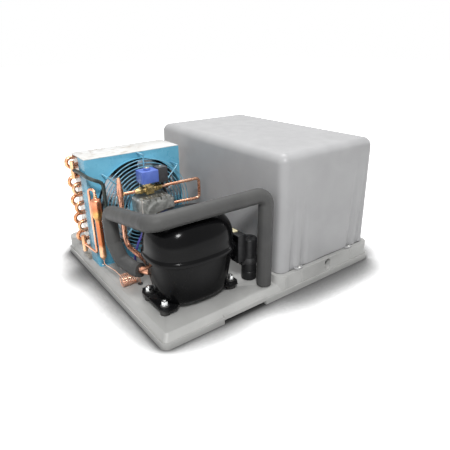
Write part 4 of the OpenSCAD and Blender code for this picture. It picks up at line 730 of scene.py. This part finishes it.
dome = [shell_level(1, z, grow) for z, grow in (
    (153.1, -steel_wall), (153.1, 0.3), (142.0, 0.3), (141.6, 1.0), (141.6, 2.4), (142.1, 3.2),
    (143.2, 3.7), (145, 3.9), (147.5, 3.9), (149.2, 3.65), (150.6, 3.15), (151.8, 2.45),
    (152.8, 1.7), (153.8, 1.05), (155.0, 0.55), (156.4, 0.2))]
dome_foot, dome_high, dome_end, lip_top = 153, 80, 86, 158
for a in (radians(dome_end * i / 38) for i in range(2, 39)):
    z = dome_foot + dome_high * (sin(a) / sin(radians(dome_end))) ** dome_power
    if z > lip_top:
        dome.append(shell_level(cos(a) ** dome_power, z))
build("compressor_upper_cup", *capped(dome), gloss_black, "shell_black",
      ("compressor_upper_shell",), 30)
bead, seam_z = [], 141.4
for k in range(240):
    a = 2 * pi * k / 240
    middle = Vector((shell_x + (shell_long - 0.6) * fuller(cos(a), shell_power),
                     shell_y + (shell_deep - 0.5) * fuller(sin(a), shell_power), seam_z))
    out = Vector((cos(a) / (shell_long + 0.4), sin(a) / (shell_deep + 0.4), 0))
    ripple = 0.75 + 0.12 * sin(k * 1.9)
    bead.append([at(*(middle + out.normalized() * (0.4 + ripple * cos(b))
                      + Vector((0, 0, ripple * sin(b)))))
                 for b in (radians(45 * j) for j in range(8))])
build("shell_weld_bead", *skin(bead, closed=True), gloss_black, "shell_black")


# What holds the compressor: two pressed foot plates on rubber bushes, each on
# a stud with washer and nut; its stubs and, inside, the motor on its springs.
foot_black = painted("black foot paint", tone(24, 24, 25), tone(15, 15, 16), (0.24, 0.38),
                     peel=2.5, shine=0.15)
dull_zinc = plated("passivated zinc", tone(216, 217, 216), tone(160, 162, 162))
stub_copper = copper_tube("torched copper", tone(204, 152, 126), tone(162, 112, 88),
                          tone(108, 76, 62), (0.26, 0.4), 22)
iron = casting("machined iron", tone(128, 126, 124), tone(92, 90, 88), (0.38, 0.55))
laminated = sheet_metal("motor laminations", tone(136, 134, 132), tone(96, 95, 94),
                        (0.36, 0.5), (0.15, 0.15, 8), 6)
dress("compressor_foot_plates", foot_black, 0.7)
dress("compressor_grommets", black_rubber, 0.6)
dress("compressor_fasteners", dull_zinc, 0.3)
dress("compressor_stubs", stub_copper, 0.2)
dress("compressor_stator", laminated, 0.3)
dress("compressor_rotor", ground_steel, 0.3)
dress("compressor_pump", iron, 0.5)
dress("compressor_springs", ground_steel)


# Relay and capacitor: a black moulded cover over the shell's pins, a pale push
# on connector, and a ribbed black can held to the cover by a plastic strap.
relay_plastic = moulding("relay plastic", tone(36, 36, 37), tone(26, 26, 27),
                         (0.3, 0.44), 0.6, patch=24, shine=0.15)
pale_plastic = moulding("pale connector plastic", tone(214, 206, 170), tone(196, 186, 150),
                        (0.4, 0.55), 0.5, patch=12)
can_plastic = moulding("capacitor can", tone(38, 38, 39), tone(29, 29, 30),
                       (0.28, 0.42), 0.6, patch=24, shine=0.16)
dress("relay_cover", relay_plastic, 1.0, 3)
dress("relay_connector", pale_plastic, 0.3)
dress("start_capacitor", can_plastic, 0.4)
dress("capacitor_strap", black_plastic, 0.3)


# Discharge side: a copper riser with its charging end pinched flat and brazed,
# and the tube to the condenser inside a dark green woven sleeve.
riser_x, valve_y, gas_z = 69, 300, 224  # where the riser, the valve and its tubes stand


def pinched(share, angle):
    """The riser's end is squeezed to a flat leaf, widest at its root and pointed at its tip."""
    flat = min(max((share - 0.80) / 0.05, 0), 1)
    flat = flat * flat * (3 - 2 * flat)
    narrow = min(max((share - 0.86) / 0.14, 0), 1) ** 1.5
    wide, thin = 1 + 0.25 * flat - 0.72 * narrow, 1 - 0.4 * flat - 0.38 * narrow
    return hypot(cos(angle) * wide, sin(angle) * thin)


def braided(name, light, dark):
    """A woven glass sleeve: fine crossed threads soaked in dark varnish."""
    made, tree, shader, place = blank_material(name)
    weave = cells(tree, place, 1.1, (1, 1, 0.6)).outputs["Distance"]
    surface(tree, shader, shades(tree, weave, (0.2, light), (0.8, dark)),
            sheen(tree, place, 6, (0.42, 0.62)))
    relief(tree, shader, weave, -0.12)
    return made


def crinkled(share, angle):
    """The sleeve's small creases."""
    return 1 + 0.02 * sin(share * 260) * cos(angle * 2 + share * 40)


riser_copper = copper_tube("riser copper", tone(214, 162, 136), tone(176, 122, 98),
                           tone(118, 78, 62), (0.22, 0.34), 44)
riser_line = fillet([(riser_x, 195.1, 96), (riser_x, valve_y, 96), (riser_x, valve_y, 266)], 28, 5)
pipe("discharge_riser_tube", stretch_out(riser_line, 2.2), 6.35, riser_copper, "copper",
     ("discharge_riser",), 28, pinched)
sleeve_line = fillet([(4.9, 411.9, 270.25), (4.9, 408.4, 270.25), (8, 398, 270.25),
                      (8, 318, 270.25), (38, 318, 255), (38, 318, 108.7),
                      (62.5, 300, 108.7)], 16, 6)
green_sleeve = braided("dark green sleeve", tone(44, 58, 54), tone(20, 28, 27))
pipe("discharge_sleeve_tube", stretch_out(sleeve_line, 3), 4.35, green_sleeve, "black_plastic",
     ("discharge_sleeve",), 20, crinkled)


# Hot gas valve: a turned and milled brass body with flared ends, the blue
# potted coil on its stem under a nut, and the dark plug with its clamp screw.
def machined_brass(name, light, dark):
    """Cut brass: bright, with fine tool marks and a few dull spots."""
    made, tree, shader, place = blank_material(name)
    spots = cloud(tree, place, 9, 5.0, (0.4, 1, 1), 0.8)
    surface(tree, shader, shades(tree, spots, (0.3, dark), (0.66, light)),
            sheen(tree, place, 3, (0.22, 0.38)), 0.95)
    relief(tree, shader, cloud(tree, place, 0.7, 2.0), 0.02, 0.4)
    return made


brass = machined_brass("machined brass", tone(226, 204, 150), tone(180, 152, 96))
coil_resin = moulding("blue coil resin", tone(98, 122, 198), tone(80, 102, 180),
                      (0.28, 0.4), 0.7, patch=16)
plug_plastic = moulding("dark plug plastic", tone(66, 66, 68), tone(50, 50, 52),
                        (0.36, 0.5), 0.6, patch=14)
dress("valve_body", brass, 0.35)
dress("valve_coil", coil_resin, 1.2, 3)
dress("valve_connector", plug_plastic, 1.0, 3)
dress("valve_plunger", ground_steel, 0.2)
for name, x, profile in (
        ("plug_clamp_screw", 177.5,
         ((3.4, 274.55), (3.4, 275.6), (3.0, 276.1), (1.5, 276.2), (1.4, 275.2))),
        ("valve_stem_cap", 142,
         ((6.3, 277.2), (6.3, 277.8), (5.6, 278.0), (2.0, 278.05), (1.8, 277.5)))):
    build(name, *capped(turned(x, valve_y, profile)), bright_zinc, "bright_fasteners", (), 25)
plug = Vector((185.5, 308, 232.46))
cable_line = fillet([plug, plug + Vector((0, 0, -12)), plug + Vector((14, 13, -34)),
                     plug + Vector((24, 13, -70)), (209.5, 321, deck_hole)], 12)
black_jacket = jacket("black jacket", tone(40, 40, 41), tone(28, 28, 29))
pipe("valve_lead", cable_line, 3.5, black_jacket, "black_plastic", ("valve_cable",))


# Hot gas lines: small copper tube from the riser through the valve, round the
# compressor and down through the deck, silver brazed at each joint.
duct_z = 14  # the middle height of the duct under the deck
rise_x, header_x, header_y = 358, 371.3, 193  # where lines rise under the cover, and their ends


def collar(name, middle, way, radius, length):
    """A braze fillet run round a joint, a little uneven."""
    def swelling(share, angle):
        return (0.72 + 0.28 * sin(pi * share) ** 0.6
                + 0.03 * sin(3 * angle + share * 9))

    line = [Vector(middle) + Vector(way) * (length * (s - 0.5)) for s in (0, 0.2, 0.5, 0.8, 1)]
    pipe(name, line, radius, braze_metal, "valve_brass", (), 24, swelling)


gas_copper = copper_tube("gas line copper", tone(232, 182, 152), tone(212, 152, 122),
                         tone(160, 104, 78), (0.2, 0.32), 52)
braze_metal = copper_tube("silver braze", tone(226, 200, 150), tone(196, 160, 110),
                          tone(120, 92, 66), (0.3, 0.5), 4)
pipe("gas_inlet_tube", [Vector((x, valve_y, gas_z)) for x in (75.5, 96, 118)], 4.0, gas_copper,
     "copper", ("hot_gas_inlet",))
gas_line = fillet([(165.97, valve_y, gas_z), (288, valve_y, gas_z), (288, valve_y, 170),
                   (205, 308, 170), (205, 308, duct_z), (205, 260, duct_z), (rise_x, 260, duct_z),
                   (rise_x, 260, 85.375), (rise_x, header_y, 85.375),
                   (header_x, header_y, 85.375)], 10, 6)
pipe("gas_outlet_tube", gas_line, 4.0, gas_copper, "copper", ("hot_gas_outlet",))
collar("braze_riser_gas", (76.6, valve_y, gas_z), (1, 0, 0), 5.6, 4.4)
collar("braze_gas_in", (107.8, valve_y, gas_z), (1, 0, 0), 5.4, 5)
collar("braze_gas_out", (176.4, valve_y, gas_z), (1, 0, 0), 5.4, 5)
collar("braze_riser_tip", (riser_x, valve_y, 264.9), (0, 0, 1), 3.0, 2.2)


# Filter drier and liquid line: a spun copper body with necked ends, heat
# stained, and the tube that loops over into it from the condenser.
drier_x, drier_y, drier_foot, drier_long = 17, 322, 62, 160
drier_profile = (
    (0.0, 2.4), (0.035, 6.4), (0.06, 8.0), (0.13, 8.05), (0.205, 8.0), (0.222, 7.5), (0.24, 7.8),
    (0.4, 7.8), (0.66, 7.85), (0.69, 9.8), (0.72, 11.4), (0.75, 12.0), (0.85, 12.05),
    (0.935, 11.95), (0.965, 11.2), (0.985, 8.4), (1.0, 4.4), (1.018, 3.7))


def stained_copper(name):
    """Spun copper, red where the flame played on it, straw coloured in a band near the top."""
    made, tree, shader, place = blank_material(name)
    height = tree.nodes.new("ShaderNodeSeparateXYZ")
    wire(tree, place, height.inputs["Vector"])
    wandering = reckon(tree, "MULTIPLY_ADD", cloud(tree, place, 16), 0.022, height.outputs["Z"])
    band = spread(tree, wandering, 0.0, 1.0, 0.073, 0.233)
    colour = shades(tree, band, (0.0, tone(222, 180, 144)), (0.2, tone(212, 160, 122)),
                    (0.27, tone(176, 104, 66)), (0.62, tone(184, 112, 74)),
                    (0.76, tone(192, 154, 92)), (0.84, tone(180, 112, 78)),
                    (1.0, tone(214, 150, 118)))
    surface(tree, shader, colour, sheen(tree, place, 8, (0.24, 0.4), 5.0), 0.9)
    relief(tree, shader, cloud(tree, place, 2.2), 0.03, 0.4)
    return made


drier_levels = [(eased(drier_profile, share), drier_foot + drier_long * share)
                for share in (i / 90 * drier_profile[-1][0] for i in range(91))]
drier_rings = turned(drier_x, drier_y, drier_levels, 36)
build("filter_drier_body", *capped(drier_rings), stained_copper("flame stained copper"), "copper",
      ("filter_drier",), 30)
liquid_end, liquid_loop = 225.2, 241.2
liquid_line = fillet([(4.9, 411.9, 74.25), (9.5, 341, 74.25), (9.5, 341, liquid_loop),
                      (drier_x, drier_y, liquid_loop), (drier_x, drier_y, liquid_end)], 9.5, 6)
pipe("liquid_line_tube", liquid_line, 3.17, gas_copper, "copper", ("liquid_tube",), 18)
collar("braze_drier_top", (drier_x, drier_y, 226.2), (0, 0, 1), 4.4, 4)


# Capillary: one long thin copper tube, wound into a neat store of nine turns
# between the drier and the deck; it meters the liquid to the evaporator.
store_x, store_y, store_z, store_long = 18, 226, 45.8, 40
turn_round, turn_steps = 14.1, 222
turns_line = []
for i in range(turn_steps + 1):
    a = radians(15 * i)
    turns_line.append(Vector((store_x + store_long * i / turn_steps,
                              store_y - turn_round * sin(a),
                              store_z + turn_round * cos(a))))
over, out_y = store_z + turn_round, store_y - turn_round
lead_in = fillet([(drier_x, drier_y, 61.9), (drier_x, drier_y, 50), (store_x, 254.2, over),
                  (store_x, 228.8, over)], 4.2, 8)
lead_out = fillet([turns_line[-1] - Vector((0, 0, 2.8)), (store_x + store_long, out_y, duct_z),
                   (rise_x, out_y, duct_z), (rise_x, out_y, 71.9), (rise_x, header_y, 71.9),
                   (header_x, header_y, 71.9)], 5.6, 8)
capillary_copper = copper_tube("capillary copper", tone(240, 198, 174), tone(226, 170, 142),
                               tone(176, 116, 90), (0.18, 0.28), 40)
pipe("capillary_line", lead_in + turns_line + lead_out, 1.2, capillary_copper, "copper",
     ("capillary_tube",), 10)


# Suction line: a soft copper tube from the compressor to the evaporator, in a
# slit black foam sleeve that puckers a little on the inside of its bends.
def foam_sleeve(name, light, dark):
    """Closed cell rubber foam with its moulded skin: dull, finely pored, dusty grey."""
    made, tree, shader, place = blank_material(name)
    dusty = cloud(tree, place, 70, twist=0.5)
    surface(tree, shader, shades(tree, dusty, (0.32, dark), (0.68, light)),
            sheen(tree, place, 14, (0.46, 0.6)), shine=0.18)
    relief(tree, shader, cells(tree, place, 1.3).outputs["Distance"], 0.05, 0.5)
    relief(tree, shader, cloud(tree, place, 9), 0.06, 0.4)
    return made


def soft_hose(share, angle):
    """Slight waves along the length, small folds near a bend, and the slit seam."""
    near = max((1 - abs(share - p) * hose_length / 12 for p in puckers), default=0)
    fold = (max(near, 0) * 0.012 * sin(share * hose_length * 1.15)
            * (0.5 - 0.5 * cos(angle - 0.6)))
    seam = -0.03 * exp(-((degrees(angle) - 250) / 4.5) ** 2)
    return 1 + 0.006 * sin(share * 31) + fold + seam - 0.01


def washer(a, n, b, k):
    """Faces between a ring of n points that begins at a and one of k points at b."""
    made, i, j = [], 0, 0
    while i < n or j < k:
        if j * n <= i * k and j < k:
            made.append((a + i % n, b + j % k, b + (j + 1) % k))
            j += 1
        else:
            made.append((a + i % n, b + j % k, a + (i + 1) % n))
            i += 1
    return made


hose_x, hose_y = 285, 34  # where it goes down through the deck
hose_stops = [(51.46, 187.92, 79.65), (45.30, 203.53, 77.59), (30.0, 237.53, 92.04),
              (21, 253.92, 134.6), (21, 258, 206), (23.04, 60.01, 240.95),
              (hose_x, hose_y, 252), (hose_x, hose_y, 32.2)]
hose_line = stretch_out(fillet(hose_stops, 24, 4), 3.0)
hose_length = length_of(hose_line)
puckers, walked = [], 0.0
for a, p, b in zip(hose_line, hose_line[1:], hose_line[2:]):
    walked += (p - a).length
    if (p - a).angle(b - p) > 0.03:
        puckers.append(walked / hose_length)
foam_radius, bore_radius, hose_sides, bore_sides = 17, 6.65, 56, 24
points, faces = skin(round_line(hose_line, foam_radius, hose_sides, soft_hose))
bore_points, bore_faces = skin(round_line(hose_line, bore_radius, bore_sides))
m = len(points)
faces += [tuple(m + j for j in face[::-1]) for face in bore_faces]
faces += [face[::-1] for face in washer(0, hose_sides, m, bore_sides)]
faces += washer(m - hose_sides, hose_sides, m + len(bore_points) - bore_sides, bore_sides)
black_foam = foam_sleeve("black foam sleeve", tone(77, 77, 76), tone(68, 68, 68))
build("suction_foam_sleeve", points + bore_points, faces, black_foam, "black_rubber",
      ("suction_insulation",), 60)
below = fillet([hose_stops[-1], (hose_x, hose_y, duct_z), (hose_x, 158, duct_z),
                (rise_x, 158, duct_z), (rise_x, 158, 232.375), (rise_x, header_y, 232.375),
                (header_x, header_y, 232.375)], 9, 6)
pipe("suction_line_tube", hose_line + below[1:], 6.35, copper, "copper", ("suction_tube",), 24)


# Floor and light: a white sweep that keeps the unit's shadow and has more shadow painted in,
# darkest close under the base; a broad lamp overhead, two weak ones at the sides, one near the
# lens.
def shown_or_mirrored(tree):
    """1 for what the lens sees, straight or by way of something shiny or clear, else 0."""
    rays = tree.nodes.new("ShaderNodeLightPath").outputs
    seen = reckon(tree, "MAXIMUM", rays["Is Camera Ray"], rays["Is Glossy Ray"])
    return reckon(tree, "MAXIMUM", seen, rays["Is Transmission Ray"])


def plain(strength):
    """A grey given as the shader takes it."""
    return strength, strength, strength, 1


def white_paper():
    """Light grey to the lamps; shown, it is white but for the shadow near what stands on it,
    deepened by painted shadow where the floor is hemmed in.
    """
    made, tree, shader, place = blank_material("white paper")
    wire(tree, shades(tree, cloud(tree, place, 400), (0.3, tone(150, 150, 150)),
                      (0.7, tone(158, 158, 158))), shader.inputs["Base Color"])
    shader.inputs["Roughness"].default_value = 0.9
    shader.inputs["Specular IOR Level"].default_value = 0.1
    near = tree.nodes.new("ShaderNodeAmbientOcclusion")
    near.samples, near.inputs["Distance"].default_value = 12, 0.13
    painted_shadow_openness = near.outputs["AO"]
    shown, glow = tree.nodes.new("ShaderNodeBsdfDiffuse"), tree.nodes.new("ShaderNodeEmission")
    # Where the unit hems the floor in, the shown colour darkens: painted shadow on top of what the
    # lamps cast.
    wire(tree, shades(tree, painted_shadow_openness, (0.48, plain(0.05)), (0.74, plain(0.26)),
                      (0.9, plain(0.66)), (0.985, plain(1.3))), shown.inputs["Color"])
    away = tree.nodes.new("ShaderNodeVectorMath")
    away.operation = "LENGTH"
    wire(tree, place, away.inputs[0])
    # The glow also falls where the floor is hemmed in, so the painted shadow shows; far off it is
    # plain white.
    brighter = reckon(tree, "MAXIMUM", spread(tree, painted_shadow_openness, 0.0, 0.2, 0.8, 0.985),
                      spread(tree, away.outputs["Value"], 0.0, 1.0, 0.8, 1.8))
    wire(tree, brighter, glow.inputs["Strength"])
    lit, choose = tree.nodes.new("ShaderNodeAddShader"), tree.nodes.new("ShaderNodeMixShader")
    wire(tree, shown.outputs[0], lit.inputs[0])
    wire(tree, glow.outputs[0], lit.inputs[1])
    wire(tree, shown_or_mirrored(tree), choose.inputs[0])
    wire(tree, shader.outputs[0], choose.inputs[1])
    wire(tree, lit.outputs[0], choose.inputs[2])
    wire(tree, choose.outputs[0], tree.nodes["Material Output"].inputs["Surface"])
    return made


def lamp(name, spot, aim, size, watts):
    """A round lamp that faces what it is aimed at; places in metres from the frame's origin."""
    light = bpy.data.lights.new(name, "AREA")
    light.shape, light.size, light.energy = "DISK", size, watts
    holder = bpy.data.objects.new(name, light)
    bpy.context.collection.objects.link(holder)
    holder.location = spot
    holder.rotation_mode = "QUATERNION"
    holder.rotation_quaternion = (Vector(aim) - Vector(spot)).to_track_quat("-Z", "Y")
    return holder


floor_mesh = bpy.data.meshes.new("floor")
floor_mesh.from_pydata([(-14, -14, 0), (14, -14, 0), (14, 14, 0), (-14, 14, 0)], [], [(0, 1, 2, 3)])
floor_mesh.materials.append(white_paper())
floor = bpy.data.objects.new("floor", floor_mesh)
bpy.context.collection.objects.link(floor)

world = bpy.data.worlds.new("studio")
bpy.context.scene.world = world
world.use_nodes = True
background = world.node_tree.nodes["Background"]
background.inputs["Color"].default_value = (1, 1, 1, 1)
wire(world.node_tree,
     spread(world.node_tree, shown_or_mirrored(world.node_tree), 0.5, 1.0, 0.0, 1.0),
     background.inputs["Strength"])

lamp("overhead", (0.35, 0.5, 2.3), (0, 0, 0.2), 1.2, 34)
lamp("right", (2.6, -0.75, 1.0), (0.2, -0.1, 0.15), 0.6, 6.5)
lamp("left", (-2.0, -0.9, 1.2), (0, 0, 0.2), 0.8, 6).visible_glossy = False
lamp("by_the_lens", (-0.8, -1.3, 1.5), (-0.1, -0.1, 0.2), 0.36, 29)
